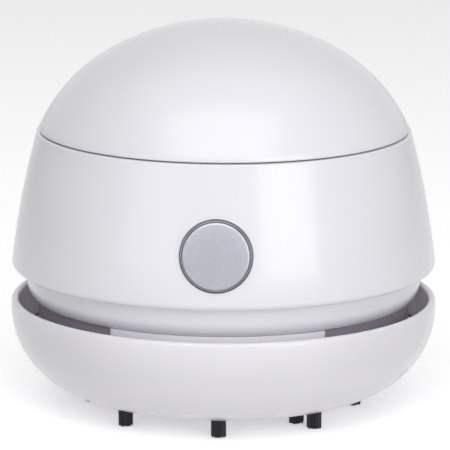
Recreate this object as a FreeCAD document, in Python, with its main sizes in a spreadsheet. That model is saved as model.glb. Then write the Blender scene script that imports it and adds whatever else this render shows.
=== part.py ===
import FreeCAD, Part
import Sketcher

import math
import os
from types import SimpleNamespace

# Small desk vacuum cleaner, in millimetres.
# The origin lies on the desk, in the middle of the circle of bristles. +Z is up and the button faces -Y.

Vector = FreeCAD.Vector

# Each size has a name, a value and a note. Lengths are in millimetres and angles in degrees.
SIZES = [
    ("bristle_reach", 2.1, "desk to the underside of the bowl"),
    ("bowl_flat_radius", 16.2, "flat middle of the underside"),
    ("bowl_radius", 43.0, "bowl at its widest"),
    ("bowl_lower_depth", 18.8, "underside to the widest circle"),
    ("bowl_rim_rise", 1.9, "widest circle to the top of the rim"),
    ("bowl_turn_angle", 72.2, "angle at which the side arc meets the flatter lower arc"),
    ("bowl_wall", 1.4, "bowl wall"),
    ("ledge_drop", 8.3, "rim down to the ledge that carries the neck"),
    ("ledge_width", 1.7, "ledge, from the wall inwards"),
    ("duct_bore", 14.0, "inside diameter of the intake duct"),
    ("duct_wall", 1.2, "wall of the intake duct"),
    ("duct_height", 8.4, "intake duct from end to end"),
    ("duct_flange", 3.2, "how far the duct's flange stands out"),
    ("duct_flange_thickness", 1.2, "flange of the intake duct"),
    ("tuft_diameter", 3.2, "one tuft of bristles"),
    ("tuft_root", 2.6, "length of a tuft held in its socket"),
    ("tuft_clearance", 0.05, "tuft to socket, on the radius"),
    ("socket_wall", 1.1, "wall round a tuft's socket"),
    ("outer_tuft_inset", 16.4, "widest circle of the bowl to the outer ring of tufts"),
    ("inner_tuft_inset", 21.5, "widest circle of the bowl to the inner ring of tufts"),
    ("inner_tuft_angle", 45.0, "turn of the inner ring away from the front"),
    ("neck_inset", 5.7, "widest circle of the bowl to the neck with the exhaust windows"),
    ("neck_wall", 1.6, "wall of the neck"),
    ("neck_tail", 2.4, "neck below the ledge"),
    ("flange_lift", 0.3, "ledge to the underside of the neck's flange"),
    ("flange_thickness", 1.4, "flange and fan deck of the neck"),
    ("flange_width", 1.9, "how far the flange stands out"),
    ("seal_gap", 0.2, "rubber ring to the bowl"),
    ("eye_radius", 9.0, "hole in the fan deck under the fan"),
    ("sill_height", 0.6, "fan deck to the lower edge of the windows"),
    ("window_height", 6.0, "exhaust window"),
    ("lintel_height", 0.4, "top of the windows to the top flange"),
    ("top_flange_thickness", 1.4, "top flange of the neck"),
    ("top_flange_width", 8.3, "top flange of the neck, from the outside inwards"),
    ("front_panel_angle", 33.2, "half of the closed panel at the front and at the back"),
    ("panel_depth", 1.3, "closed panel in front of the neck"),
    ("panel_lip_gap", 0.1, "closed panel to the lip above it"),
    ("post_angle", 3.5, "half of the post at each side"),
    ("filter_clearance", 0.2, "filter frame to the neck"),
    ("filter_frame_width", 2.2, "rim of the filter frame"),
    ("filter_frame_height", 2.2, "filter frame"),
    ("filter_spoke", 1.6, "width of a spoke of the filter frame"),
    ("filter_mesh_thickness", 0.4, "filter mesh"),
    ("lip_gap", 0.4, "rim of the bowl to the lip of the housing"),
    ("lip_ledge", 1.1, "neck to the outside of the lip at its lower edge"),
    ("lip_chamfer", 0.25, "inner edge of the lip"),
    ("lip_height", 3.2, "rounded part of the tucked-in band"),
    ("band_height", 5.75, "lower edge of the lip to the shoulder above it"),
    ("skirt_overhang", 3.0, "tucked-in band to the housing's widest circle"),
    ("skirt_edge_radius", 1.4, "rounded lower edge of the skirt"),
    ("neck_lip_gap", 0.2, "neck to the inside of the lip"),
    ("skirt_inset", 0.2, "widest circle of the bowl to the housing's widest circle"),
    ("housing_height", 27.85, "shoulder to the seam"),
    ("housing_side_radius", 171.0, "bulge of the housing's side"),
    ("housing_wall", 1.8, "wall of the housing"),
    ("seam_edge_radius", 0.35, "rounding of the edges along the seam"),
    ("seam_gap", 0.25, "dark line between housing and cover"),
    ("cover_inset", 0.3, "cover inside the housing's outline at the seam"),
    ("cover_clearance", 0.7939, "top corners of the contact plates to the cover above them"),
    ("crown_radius", 46.8, "crown of the cover"),
    ("crown_angle", 30.8, "angle at which the crown meets the shoulder"),
    ("shoulder_radius", 33.1, "shoulder of the cover"),
    ("cover_wall", 1.6, "wall of the cover"),
    ("spigot_height", 1.6, "battery tray above the seam"),
    ("spigot_clearance", 0.3, "battery tray to the cover"),
    ("tray_floor_drop", 4.4, "seam down to the floor of the battery tray"),
    ("tray_wall", 1.2, "wall and floor of the battery tray"),
    ("cell_diameter", 14.5, "battery cell"),
    ("cell_length", 50.5, "battery cell, with its positive cap"),
    ("cell_gap", 0.2, "between the two cells"),
    ("cell_lift", 0.3, "tray floor to the cells"),
    ("cell_cap_radius", 2.7, "positive cap of a cell"),
    ("cell_cap_length", 1.0, "positive cap of a cell"),
    ("cell_edge_radius", 0.6, "rounded edge of a cell"),
    ("contact_thickness", 0.4, "contact plate"),
    ("contact_width", 7.0, "contact plate"),
    ("contact_height", 7.4, "contact plate"),
    ("contact_gap", 0.2, "cell to its positive contact plate"),
    ("contact_spring_length", 3.2, "contact spring, pressed by the cell"),
    ("contact_spring_radius", 2.9, "middle of the contact spring's wire"),
    ("contact_wire", 0.6, "wire of the contact spring"),
    ("spring_clearance", 0.1, "end of a spring to what it presses on"),
    ("end_wall_height", 8.6, "end wall of the battery tray above its floor"),
    ("end_wall_width", 23.0, "end wall of the battery tray"),
    ("end_wall_thickness", 1.0, "end wall of the battery tray"),
    ("rail_height", 4.6, "side rail beside a cell"),
    ("rail_length", 44.0, "side rail beside a cell"),
    ("rail_thickness", 1.0, "side rail beside a cell"),
    ("fan_radius", 26.0, "fan wheel"),
    ("fan_clearance", 0.8, "fan wheel to the decks above and below it"),
    ("fan_disc", 1.0, "back disc of the fan wheel"),
    ("fan_hub_radius", 3.4, "hub of the fan wheel"),
    ("fan_eye_radius", 10.5, "where the blades start"),
    ("fan_blade", 0.8, "blade of the fan wheel"),
    ("fan_blade_sweep", 24.0, "turn of a blade from its root to its tip"),
    ("fan_blade_bend", 23.4, "bend of a blade"),
    ("motor_plate_thickness", 1.6, "plate under the motor"),
    ("motor_radius", 10.05, "motor can"),
    ("motor_flats", 15.1, "across the flats of the motor can"),
    ("motor_can_length", 20.2, "motor can"),
    ("motor_can_wall", 0.8, "motor can"),
    ("motor_cap_length", 4.0, "end cap of the motor"),
    ("motor_screw_circle", 6.2, "radius to the motor screws"),
    ("motor_nose_radius", 3.0, "bearing nose of the motor"),
    ("motor_nose_length", 1.2, "bearing nose of the motor"),
    ("shaft_diameter", 2.0, "motor shaft"),
    ("shaft_tail", 0.5, "shaft beyond the end cap"),
    ("running_clearance", 0.05, "shaft to bearing or fan hub, on the radius"),
    ("magnet_thickness", 1.9, "motor magnet"),
    ("magnet_angle", 55.0, "arc of a magnet"),
    ("armature_gap", 0.5, "magnet to armature"),
    ("armature_length", 11.0, "core of the armature"),
    ("armature_core_radius", 3.1, "middle of the armature"),
    ("pole_neck", 2.1, "neck of a pole of the armature"),
    ("pole_shoe", 1.5, "depth of a pole's shoe"),
    ("pole_angle", 48.0, "half of the arc of a pole's shoe"),
    ("commutator_radius", 2.6, "commutator"),
    ("commutator_length", 3.4, "commutator"),
    ("screw_radius", 1.0, "thread of the housing, tray and switch screws"),
    ("screw_clearance", 0.05, "screw to its hole, on the radius"),
    ("screw_head_radius", 2.0, "head of those screws"),
    ("screw_head_height", 1.3, "head of those screws"),
    ("screw_length", 7.0, "housing and tray screws under the head"),
    ("motor_screw_radius", 0.8, "thread of the motor screws"),
    ("motor_screw_head_radius", 1.5, "head of the motor screws"),
    ("motor_screw_head_height", 1.0, "head of the motor screws"),
    ("motor_screw_bite", 1.8, "motor screw inside the motor"),
    ("boss_radius", 2.6, "screw boss"),
    ("boss_hole_spare", 1.0, "hole beyond the tip of the screw"),
    ("rib_thickness", 1.6, "rib between a boss and the wall"),
    ("housing_boss_inset", 4.9, "outside of the neck to the housing screws"),
    ("housing_boss_height", 11.0, "boss above the motor plate"),
    ("housing_rib_start", 5.3, "foot of a housing boss to its rib"),
    ("tray_boss_inset", 4.836, "edge of the battery tray to the tray screws"),
    ("tray_boss_height", 7.6, "boss under the battery tray"),
    ("tray_rib_height", 3.4, "rib of that boss, above the ring of the button"),
    ("button_height", 10.75, "shoulder of the housing to the middle of the button"),
    ("button_tilt", 8.9, "upward tilt of the button, square to the shell"),
    ("button_radius", 6.5, "push button"),
    ("button_lift_height", 1.0, "face of the button in front of the shell"),
    ("button_edge_radius", 0.45, "bevelled edge of the button"),
    ("button_depth", 3.4, "button from face to rim"),
    ("button_wall", 0.8, "wall of the button"),
    ("button_face_thickness", 1.4, "thickness of the button's face"),
    ("button_clearance", 0.2, "button to its ring, on the radius"),
    ("bezel_wall", 0.42, "ring round the button"),
    ("bezel_clearance", 0.05, "ring to its hole in the shell, on the radius"),
    ("bezel_lift_height", 0.3, "ring in front of the shell"),
    ("bezel_depth", 6.6, "shell to the back of the ring's tube"),
    ("bezel_floor", 1.2, "floor of the ring's tube"),
    ("bezel_collar", 1.0, "collar behind the shell"),
    ("bezel_collar_depth", 2.9, "shell to the collar"),
    ("bezel_collar_thickness", 1.0, "collar behind the shell"),
    ("stem_radius", 1.8, "stem of the button"),
    ("stem_clearance", 0.08, "stem to the floor of the tube, on the radius"),
    ("stem_end_depth", 9.0, "shell to the end of the stem"),
    ("button_travel", 2.0, "travel of the button"),
    ("button_spring_radius", 3.5, "middle of the button spring's wire"),
    ("button_wire", 0.5, "wire of the button spring"),
    ("bracket_depth", 11.4, "shell to the switch bracket"),
    ("bracket_thickness", 1.2, "switch bracket"),
    ("bracket_width", 27.0, "switch bracket"),
    ("bracket_height", 9.0, "switch bracket"),
    ("bracket_pitch", 22.0, "between the two switch screws"),
    ("switch_screw_length", 5.0, "switch screw under the head"),
    ("switch_post_depth", 2.4, "shell to the root of a switch post"),
    ("switch_width", 8.5, "switch body, across"),
    ("switch_length", 7.0, "switch body"),
    ("switch_stem", 3.0, "square stem of the switch"),
    ("switch_stem_length", 4.4, "square stem of the switch, rest position"),
    ("switch_stem_clearance", 0.1, "switch stem to its guide, each side"),
    ("switch_stem_gap", 0.1, "stem of the button to the stem of the switch"),
]

OUTER_TUFTS = 8
INNER_TUFTS = 3
FAN_BLADES = 9
HOUSING_SCREWS = 3
FILTER_SPOKES = 4
ARMATURE_POLES = 3
BUTTON_SPRING_TURNS = 4
CONTACT_SPRING_TURNS = 2

# Radius of a rounded edge against half its width, so that its arc always spans its ends
ROUNDING = 1.02

doc = FreeCAD.newDocument("desk_vacuum_cleaner")
sheet = doc.addObject("Spreadsheet::Sheet", "sizes")


class Size:
    """A number together with the formula on the sheet that it comes from."""

    def __init__(self, value, formula):
        self.value = float(value)
        self.formula = formula

    def __add__(self, other):
        other = size(other)
        return Size(self.value + other.value, "(%s + %s)" % (self.formula, other.formula))

    def __sub__(self, other):
        other = size(other)
        return Size(self.value - other.value, "(%s - %s)" % (self.formula, other.formula))

    def __mul__(self, other):
        other = size(other)
        return Size(self.value * other.value, "(%s * %s)" % (self.formula, other.formula))

    def __truediv__(self, other):
        other = size(other)
        return Size(self.value / other.value, "(%s / %s)" % (self.formula, other.formula))

    def __radd__(self, other):
        return size(other) + self

    def __rsub__(self, other):
        return size(other) - self

    def __rmul__(self, other):
        return size(other) * self

    def __neg__(self):
        return size(0.0) - self


def size(number):
    """A plain number as a Size, or a Size as it is."""
    if isinstance(number, Size):
        return number
    return Size(number, "(%r)" % float(number))


def root(number):
    return Size(math.sqrt(number.value), "sqrt(%s)" % number.formula)


def sine(angle):
    angle = size(angle)
    return Size(math.sin(math.radians(angle.value)), "sin(%s * 1deg)" % angle.formula)


def cosine(angle):
    angle = size(angle)
    return Size(math.cos(math.radians(angle.value)), "cos(%s * 1deg)" % angle.formula)


def fill_sheet():
    """Write the sizes to the sheet and give them back by name."""
    named = {}
    for row, (alias, value, note) in enumerate(SIZES, start=1):
        sheet.set("A%d" % row, alias)
        sheet.set("B%d" % row, str(value))
        sheet.setAlias("B%d" % row, alias)
        sheet.set("C%d" % row, note)
        named[alias] = Size(value, "sizes.%s" % alias)
    return SimpleNamespace(**named)


S = fill_sheet()

# Radii that follow the bowl's widest circle
neck_radius = S.bowl_radius - S.neck_inset
panel_radius = neck_radius + S.panel_depth
lip_radius = neck_radius + S.lip_ledge
skirt_radius = S.bowl_radius - S.skirt_inset
band_radius = skirt_radius - S.skirt_overhang
housing_boss_circle = neck_radius - S.housing_boss_inset
outer_tuft_circle = S.bowl_radius - S.outer_tuft_inset
inner_tuft_circle = S.bowl_radius - S.inner_tuft_inset

# Heights above the desk
underside = S.bristle_reach
widest = underside + S.bowl_lower_depth
rim = widest + S.bowl_rim_rise
ledge = rim - S.ledge_drop
flange_bottom = ledge + S.flange_lift
deck_top = flange_bottom + S.flange_thickness
window_bottom = deck_top + S.sill_height
window_top = window_bottom + S.window_height
top_flange_bottom = window_top + S.lintel_height
top_flange_top = top_flange_bottom + S.top_flange_thickness
neck_bottom = ledge - S.neck_tail
motor_plate_top = top_flange_top + S.motor_plate_thickness
lip_bottom = rim + S.lip_gap
shoulder = lip_bottom + S.band_height
seam = shoulder + S.housing_height
tray_floor = seam - S.tray_floor_drop
tray_bottom = tray_floor - S.tray_wall
spigot_top = seam + S.spigot_height
cell_centre = tray_floor + S.cell_lift + S.cell_diameter / 2
fan_bottom = deck_top + S.fan_clearance
fan_top = top_flange_bottom - S.fan_clearance
fan_disc_bottom = fan_top - S.fan_disc
motor_can_top = motor_plate_top + S.motor_can_length
motor_cap_top = motor_can_top + S.motor_cap_length
shaft_top = motor_cap_top + S.shaft_tail

# The bowl's section is a side arc and a flatter lower arc that meet at the turn angle.
bowl_cos = cosine(S.bowl_turn_angle)
bowl_sin = sine(S.bowl_turn_angle)
bowl_spread = S.bowl_radius - S.bowl_flat_radius
bowl_divisor = bowl_cos + bowl_sin - 1
bowl_side_arc = (S.bowl_lower_depth * bowl_cos - bowl_spread * (1 - bowl_sin)) / bowl_divisor
bowl_lower_arc = (bowl_spread * bowl_sin - S.bowl_lower_depth * (1 - bowl_cos)) / bowl_divisor
bowl_side_centre = S.bowl_radius - bowl_side_arc
bowl_lower_centre = underside + bowl_lower_arc

# The cover's section is a crown arc and a tighter shoulder arc, which clears the corners of the contact plates.
cell_out = (S.cell_diameter + S.cell_gap) / 2
contact_end = S.cell_length / 2 + S.contact_spring_length + S.contact_thickness
contact_side = cell_out + S.contact_width / 2
contact_corner = root(contact_end * contact_end + contact_side * contact_side)
shoulder_centre_out = (S.crown_radius - S.shoulder_radius) * sine(S.crown_angle)
corner_reach = S.shoulder_radius - S.cover_wall
corner_run = contact_corner - shoulder_centre_out
corner_rise = root(corner_reach * corner_reach - corner_run * corner_run)
shoulder_centre_up = cell_centre + S.contact_height / 2 + S.cover_clearance - corner_rise
crown_centre = shoulder_centre_up - (S.crown_radius - S.shoulder_radius) * cosine(S.crown_angle)
cover_top = crown_centre + S.crown_radius


def bowl_side(height, inset=0):
    """Radius of the bowl's side at a height, moved inwards by the inset."""
    reach = bowl_side_arc - inset
    rise = height - widest
    return bowl_side_centre + root(reach * reach - rise * rise)


def bowl_lower(radius, inset=0):
    """Height of the bowl's lower arc at a radius, moved inwards by the inset."""
    reach = bowl_lower_arc - inset
    out = radius - S.bowl_flat_radius
    return bowl_lower_centre - root(reach * reach - out * out)


def cover_side(height, inset=0):
    """Radius of the cover's shoulder at a height, moved inwards by the inset."""
    reach = S.shoulder_radius - inset
    rise = height - shoulder_centre_up
    return shoulder_centre_out + root(reach * reach - rise * rise)


seam_radius = cover_side(seam) + S.cover_inset
cover_rim = seam + S.seam_gap
tray_radius = cover_side(spigot_top, S.cover_wall) - S.spigot_clearance
tray_boss_circle = tray_radius - S.tray_boss_inset
lip_inner = neck_radius + S.neck_lip_gap
neck_inner = neck_radius - S.neck_wall
duct_radius = S.duct_bore / 2 + S.duct_wall
bezel_radius = S.button_radius + S.button_clearance + S.bezel_wall


def housing_side(height):
    """Radius of the housing's outside at a height, from the arc between shoulder and seam."""
    low = shoulder + S.skirt_edge_radius
    high = seam - S.seam_edge_radius
    run = seam_radius - skirt_radius
    rise = high - low
    chord = root(run * run + rise * rise)
    arm = root(S.housing_side_radius * S.housing_side_radius - chord * chord / 4)
    centre_out = (seam_radius + skirt_radius) / 2 - arm * rise / chord
    centre_up = (low + high) / 2 + arm * run / chord
    up = height - centre_up
    return centre_out + root(S.housing_side_radius * S.housing_side_radius - up * up)


def origin_part(body, role):
    """A plane or axis of a body's own origin."""
    return [part for part in body.Origin.OriginFeatures if part.Role == role][0]


def new_body(label):
    body = doc.addObject("PartDesign::Body", label)
    body.Label = label
    return body


def new_sketch(body, role="XY_Plane", level=0, shift=0):
    """Sketch on one of the body's planes, moved along the plane's normal and along the sketch's own X."""
    sketch = body.newObject("Sketcher::SketchObject", body.Label + "_sketch")
    sketch.AttachmentSupport = [(origin_part(body, role), "")]
    sketch.MapMode = "FlatFace"
    level = size(level)
    shift = size(shift)
    sketch.AttachmentOffset = FreeCAD.Placement(Vector(shift.value, 0, level.value), FreeCAD.Rotation())
    sketch.setExpression("AttachmentOffset.Base.z", level.formula)
    sketch.setExpression("AttachmentOffset.Base.x", shift.formula)
    return sketch


def pin_point(edge, end, x, y):
    """Constraints that hold one end of an edge at a place, with the formulas of their values."""
    found = []
    for name, value, axis in (("DistanceX", x, -2), ("DistanceY", y, -1)):
        if abs(value.value) < 1e-9:
            found.append((Sketcher.Constraint("PointOnObject", edge, end, axis), None))
        else:
            found.append((Sketcher.Constraint(name, -1, 1, edge, end, value.value), value.formula))
    return found


def add_constraints(sketch, found):
    first = sketch.ConstraintCount
    sketch.addConstraint([constraint for constraint, formula in found])
    for index, (constraint, formula) in enumerate(found, start=first):
        if formula:
            sketch.setExpression("Constraints[%d]" % index, formula)


def arc_between(start, end, radius, turn):
    """Arc from start to end that turns left (1) or right (-1), as the sketch keeps it."""
    half = (end - start) * 0.5
    arm = math.sqrt(max(radius * radius - half.Length * half.Length, 0.0))
    left = Vector(-half.y, half.x, 0).normalize()
    centre = start + half + left * (arm * turn)
    first, last = (start, end) if turn > 0 else (end, start)
    low = math.atan2(first.y - centre.y, first.x - centre.x)
    high = math.atan2(last.y - centre.y, last.x - centre.x)
    if high < low:
        high += 2 * math.pi
    return Part.ArcOfCircle(Part.Circle(centre, Vector(0, 0, 1), radius), low, high)


def draw(sketch, corners):
    """Closed outline. A corner is (x, y), reached by a line, or (x, y, radius, turn), reached by an arc
    that turns left (1) or right (-1)."""
    spots = [(size(corner[0]), size(corner[1])) for corner in corners]
    places = [Vector(x.value, y.value, 0) for x, y in spots]
    first = sketch.GeometryCount
    edges = []
    ends = []
    for index, corner in enumerate(corners):
        start = places[index - 1]
        end = places[index]
        if len(corner) == 2:
            edges.append(Part.LineSegment(start, end))
            ends.append((1, 2))
        else:
            turn = corner[3]
            edges.append(arc_between(start, end, size(corner[2]).value, turn))
            ends.append((1, 2) if turn > 0 else (2, 1))
    sketch.addGeometry(edges, False)
    found = []
    for index, corner in enumerate(corners):
        previous = (index - 1) % len(corners)
        here = first + index
        before = first + previous
        joint = Sketcher.Constraint("Coincident", before, ends[previous][1], here, ends[index][0])
        found.append((joint, None))
        found += pin_point(here, ends[index][1], *spots[index])
        if len(corner) > 2:
            radius = size(corner[2])
            found.append((Sketcher.Constraint("Radius", here, radius.value), radius.formula))
    add_constraints(sketch, found)


def circle(sketch, radius, x=0, y=0):
    radius = size(radius)
    x = size(x)
    y = size(y)
    here = sketch.GeometryCount
    sketch.addGeometry(Part.Circle(Vector(x.value, y.value, 0), Vector(0, 0, 1), radius.value), False)
    found = [(Sketcher.Constraint("Radius", here, radius.value), radius.formula)]
    add_constraints(sketch, found + pin_point(here, 3, x, y))


def rectangle(sketch, left, right, low, high):
    draw(sketch, [(left, low), (right, low), (right, high), (left, high)])


def feature(body, kind, sketch):
    made = body.newObject("PartDesign::" + kind, body.Label + "_" + kind.lower())
    made.Profile = sketch
    return made


def pad(body, sketch, length, down=False):
    made = feature(body, "Pad", sketch)
    length = size(length)
    made.Length = length.value
    made.setExpression("Length", length.formula)
    made.Reversed = down
    return made


def pocket(body, sketch, length, down=False):
    """Cut along the sketch's normal, or against it."""
    made = feature(body, "Pocket", sketch)
    length = size(length)
    made.Length = length.value
    made.setExpression("Length", length.formula)
    made.Reversed = not down
    return made


def revolve(body, corners, shift=0):
    """Turn a section, drawn in the plane y = 0, once round the sketch's upright axis."""
    sketch = new_sketch(body, "XZ_Plane", shift=shift)
    draw(sketch, corners)
    made = feature(body, "Revolution", sketch)
    made.ReferenceAxis = (sketch, ["V_Axis"])
    made.Angle = 360
    return made


def around(body, made, count):
    """Copies of a feature round the body's upright axis."""
    pattern = body.newObject("PartDesign::PolarPattern", body.Label + "_pattern")
    pattern.Originals = [made]
    pattern.Axis = (origin_part(body, "Z_Axis"), [""])
    pattern.Angle = 360
    pattern.Occurrences = count
    body.Tip = pattern
    return pattern


def turned(body, angle):
    """Turn a body about the upright axis."""
    angle = size(angle)
    body.Placement = FreeCAD.Placement(Vector(0, 0, 0), FreeCAD.Rotation(Vector(0, 0, 1), angle.value))
    body.setExpression("Placement.Rotation.Angle", angle.formula)


# The button's own frame: its origin is on the shell, and its +Z points out of the shell.
button_level = shoulder + S.button_height
button_out = housing_side(button_level)
button_turn = 90 - S.button_tilt


def place_on_shell(body):
    """Set a body into the button's frame."""
    turn = FreeCAD.Rotation(Vector(1, 0, 0), button_turn.value)
    body.Placement = FreeCAD.Placement(Vector(0, -button_out.value, button_level.value), turn)
    body.setExpression("Placement.Base.y", (-button_out).formula)
    body.setExpression("Placement.Base.z", button_level.formula)
    body.setExpression("Placement.Rotation.Angle", button_turn.formula)


def shell_sketch(body, level):
    """Sketch in a body of the upright frame, square to the button's axis."""
    level = size(level)
    sketch = body.newObject("Sketcher::SketchObject", body.Label + "_sketch")
    sketch.AttachmentSupport = [(origin_part(body, "XZ_Plane"), "")]
    sketch.MapMode = "FlatFace"
    out = button_out + level * cosine(S.button_tilt)
    up = button_level + level * sine(S.button_tilt)
    turn = FreeCAD.Rotation(Vector(1, 0, 0), -S.button_tilt.value)
    sketch.AttachmentOffset = FreeCAD.Placement(Vector(0, up.value, out.value), turn)
    sketch.setExpression("AttachmentOffset.Base.y", up.formula)
    sketch.setExpression("AttachmentOffset.Base.z", out.formula)
    sketch.setExpression("AttachmentOffset.Rotation.Angle", (-S.button_tilt).formula)
    return sketch


def screw(body, radius, head_radius, head_height, length, shift, seat, head_up):
    """Pan-head screw beside the upright axis, with the underside of its head at the seat."""
    tip = seat - length if head_up else seat + length
    top = seat + head_height if head_up else seat - head_height
    section = [(0, tip), (radius, tip), (radius, seat), (head_radius, seat), (head_radius, top), (0, top)]
    if not head_up:
        section.reverse()
    return revolve(body, section, shift)


# Dust bowl
def build_bowl():
    body = new_body("dust_bowl")
    wall = S.bowl_wall
    inner_side_arc = bowl_side_arc - wall
    inner_lower_arc = bowl_lower_arc - wall
    bead = wall / 2
    bead_level = rim - bead
    ledge_inner = bowl_side(ledge, wall) - S.ledge_width
    ledge_foot = widest - root(inner_side_arc * inner_side_arc
                               - (ledge_inner - bowl_side_centre) * (ledge_inner - bowl_side_centre))
    duct_hole = duct_radius + S.running_clearance
    section = [
        (duct_hole, underside),
        (S.bowl_flat_radius, underside),
        (bowl_side_centre + bowl_side_arc * bowl_cos, widest - bowl_side_arc * bowl_sin, bowl_lower_arc, 1),
        (bowl_side(bead_level), bead_level, bowl_side_arc, 1),
        (bowl_side(bead_level, wall), bead_level, bead * ROUNDING, 1),
        (bowl_side(ledge, wall), ledge, inner_side_arc, -1),
        (ledge_inner, ledge),
        (ledge_inner, ledge_foot),
        (bowl_side_centre + inner_side_arc * bowl_cos, widest - inner_side_arc * bowl_sin, inner_side_arc, -1),
        (S.bowl_flat_radius, underside + wall, inner_lower_arc, -1),
        (duct_hole, underside + wall),
    ]
    revolve(body, section)
    boss_radius = S.tuft_diameter / 2 + S.tuft_clearance + S.socket_wall
    socket_radius = S.tuft_diameter / 2 + S.tuft_clearance
    for circle_radius, count, angle in tuft_rings():
        lowest = (bowl_lower(circle_radius + boss_radius) + bowl_lower(circle_radius - boss_radius, wall)) / 2
        mouth = bowl_lower(circle_radius + socket_radius)
        top = mouth + S.tuft_root + S.socket_wall
        x = circle_radius * cosine(angle)
        y = circle_radius * sine(angle)
        boss = new_sketch(body, level=lowest)
        circle(boss, boss_radius, x, y)
        around(body, pad(body, boss, top - lowest), count)
        socket = new_sketch(body)
        circle(socket, socket_radius, x, y)
        around(body, pocket(body, socket, mouth + S.tuft_root + S.tuft_clearance), count)


def tuft_rings():
    """Circle, count and first angle of each ring of tufts."""
    front = size(-90)
    return (
        (outer_tuft_circle, OUTER_TUFTS, front),
        (inner_tuft_circle, INNER_TUFTS, front + S.inner_tuft_angle),
    )


def build_tufts():
    for label, (circle_radius, count, angle) in zip(("outer_bristles", "inner_bristles"), tuft_rings()):
        body = new_body(label)
        mouth = bowl_lower(circle_radius + S.tuft_diameter / 2 + S.tuft_clearance)
        tuft = new_sketch(body)
        circle(tuft, S.tuft_diameter / 2, circle_radius * cosine(angle), circle_radius * sine(angle))
        around(body, pad(body, tuft, mouth + S.tuft_root), count)


def build_duct():
    body = new_body("intake_duct")
    bore = S.duct_bore / 2
    flange = duct_radius + S.duct_flange
    foot = underside + S.bowl_wall
    top = underside + S.duct_height
    round_off = S.duct_wall / 2
    revolve(body, [
        (bore, underside),
        (duct_radius, underside),
        (duct_radius, foot),
        (flange, foot),
        (flange, foot + S.duct_flange_thickness),
        (duct_radius, foot + S.duct_flange_thickness),
        (duct_radius, top - round_off),
        (bore, top - round_off, round_off * ROUNDING, 1),
    ])


# Neck, seal and filter
def build_neck():
    body = new_body("vent_ring")
    flange = neck_radius + S.flange_width
    revolve(body, [
        (neck_inner, neck_bottom),
        (neck_radius, neck_bottom),
        (neck_radius, flange_bottom),
        (flange, flange_bottom),
        (flange, deck_top),
        (neck_radius, deck_top),
        (neck_radius, top_flange_top),
        (neck_radius - S.top_flange_width, top_flange_top),
        (neck_radius - S.top_flange_width, top_flange_bottom),
        (neck_inner, top_flange_bottom),
        (neck_inner, deck_top),
        (S.eye_radius, deck_top),
        (S.eye_radius, flange_bottom),
        (neck_inner, flange_bottom),
    ])
    windows = new_sketch(body, level=window_bottom)
    near = neck_radius - S.top_flange_width
    far = neck_radius + S.top_flange_width
    for middle in (-90, 90):
        for side in (-1, 1):
            first = middle + side * S.front_panel_angle
            last = middle + side * (90 - S.post_angle)
            draw(windows, [
                (near * cosine(first), near * sine(first)),
                (far * cosine(first), far * sine(first)),
                (far * cosine(last), far * sine(last)),
                (near * cosine(last), near * sine(last)),
            ])
    pocket(body, windows, S.window_height)
    panel = new_sketch(body, level=deck_top)
    first = -90 - S.front_panel_angle
    last = -90 + S.front_panel_angle
    root_radius = neck_radius - S.neck_wall / 2
    draw(panel, [
        (panel_radius * cosine(first), panel_radius * sine(first)),
        (panel_radius * cosine(last), panel_radius * sine(last), panel_radius, 1),
        (root_radius * cosine(last), root_radius * sine(last)),
        (root_radius * cosine(first), root_radius * sine(first), root_radius, -1),
    ])
    around(body, pad(body, panel, lip_bottom - S.panel_lip_gap - deck_top), 2)
    holes = new_sketch(body, level=top_flange_bottom)
    circle(holes, S.screw_radius + S.screw_clearance, y=housing_boss_circle)
    around(body, pocket(body, holes, S.top_flange_thickness), HOUSING_SCREWS)


def build_seal():
    body = new_body("seal_ring")
    inner = neck_radius + S.flange_width
    outer = bowl_side(ledge + S.seal_gap, S.bowl_wall) - S.seal_gap
    low = ledge + S.seal_gap
    middle = (inner + outer) / 2
    revolve(body, [
        (middle, low),
        (outer, low + S.flange_thickness / 3),
        (outer, deck_top - S.flange_thickness / 3),
        (middle, deck_top),
        (inner, deck_top),
        (inner, low),
    ])


def build_filter():
    frame = new_body("filter_frame")
    outer = neck_inner - S.filter_clearance
    top = flange_bottom - S.filter_clearance
    low = top - S.filter_frame_height
    inner = outer - S.filter_frame_width
    revolve(frame, [(inner, low), (outer, low), (outer, top), (inner, top)])
    spoke = new_sketch(frame, level=low)
    rectangle(spoke, 0, inner + S.filter_frame_width / 2, -S.filter_spoke / 2, S.filter_spoke / 2)
    around(frame, pad(frame, spoke, S.filter_frame_height), FILTER_SPOKES)
    mesh = new_body("filter_mesh")
    disc = new_sketch(mesh, level=low)
    circle(disc, outer)
    pad(mesh, disc, S.filter_mesh_thickness, down=True)


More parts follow.
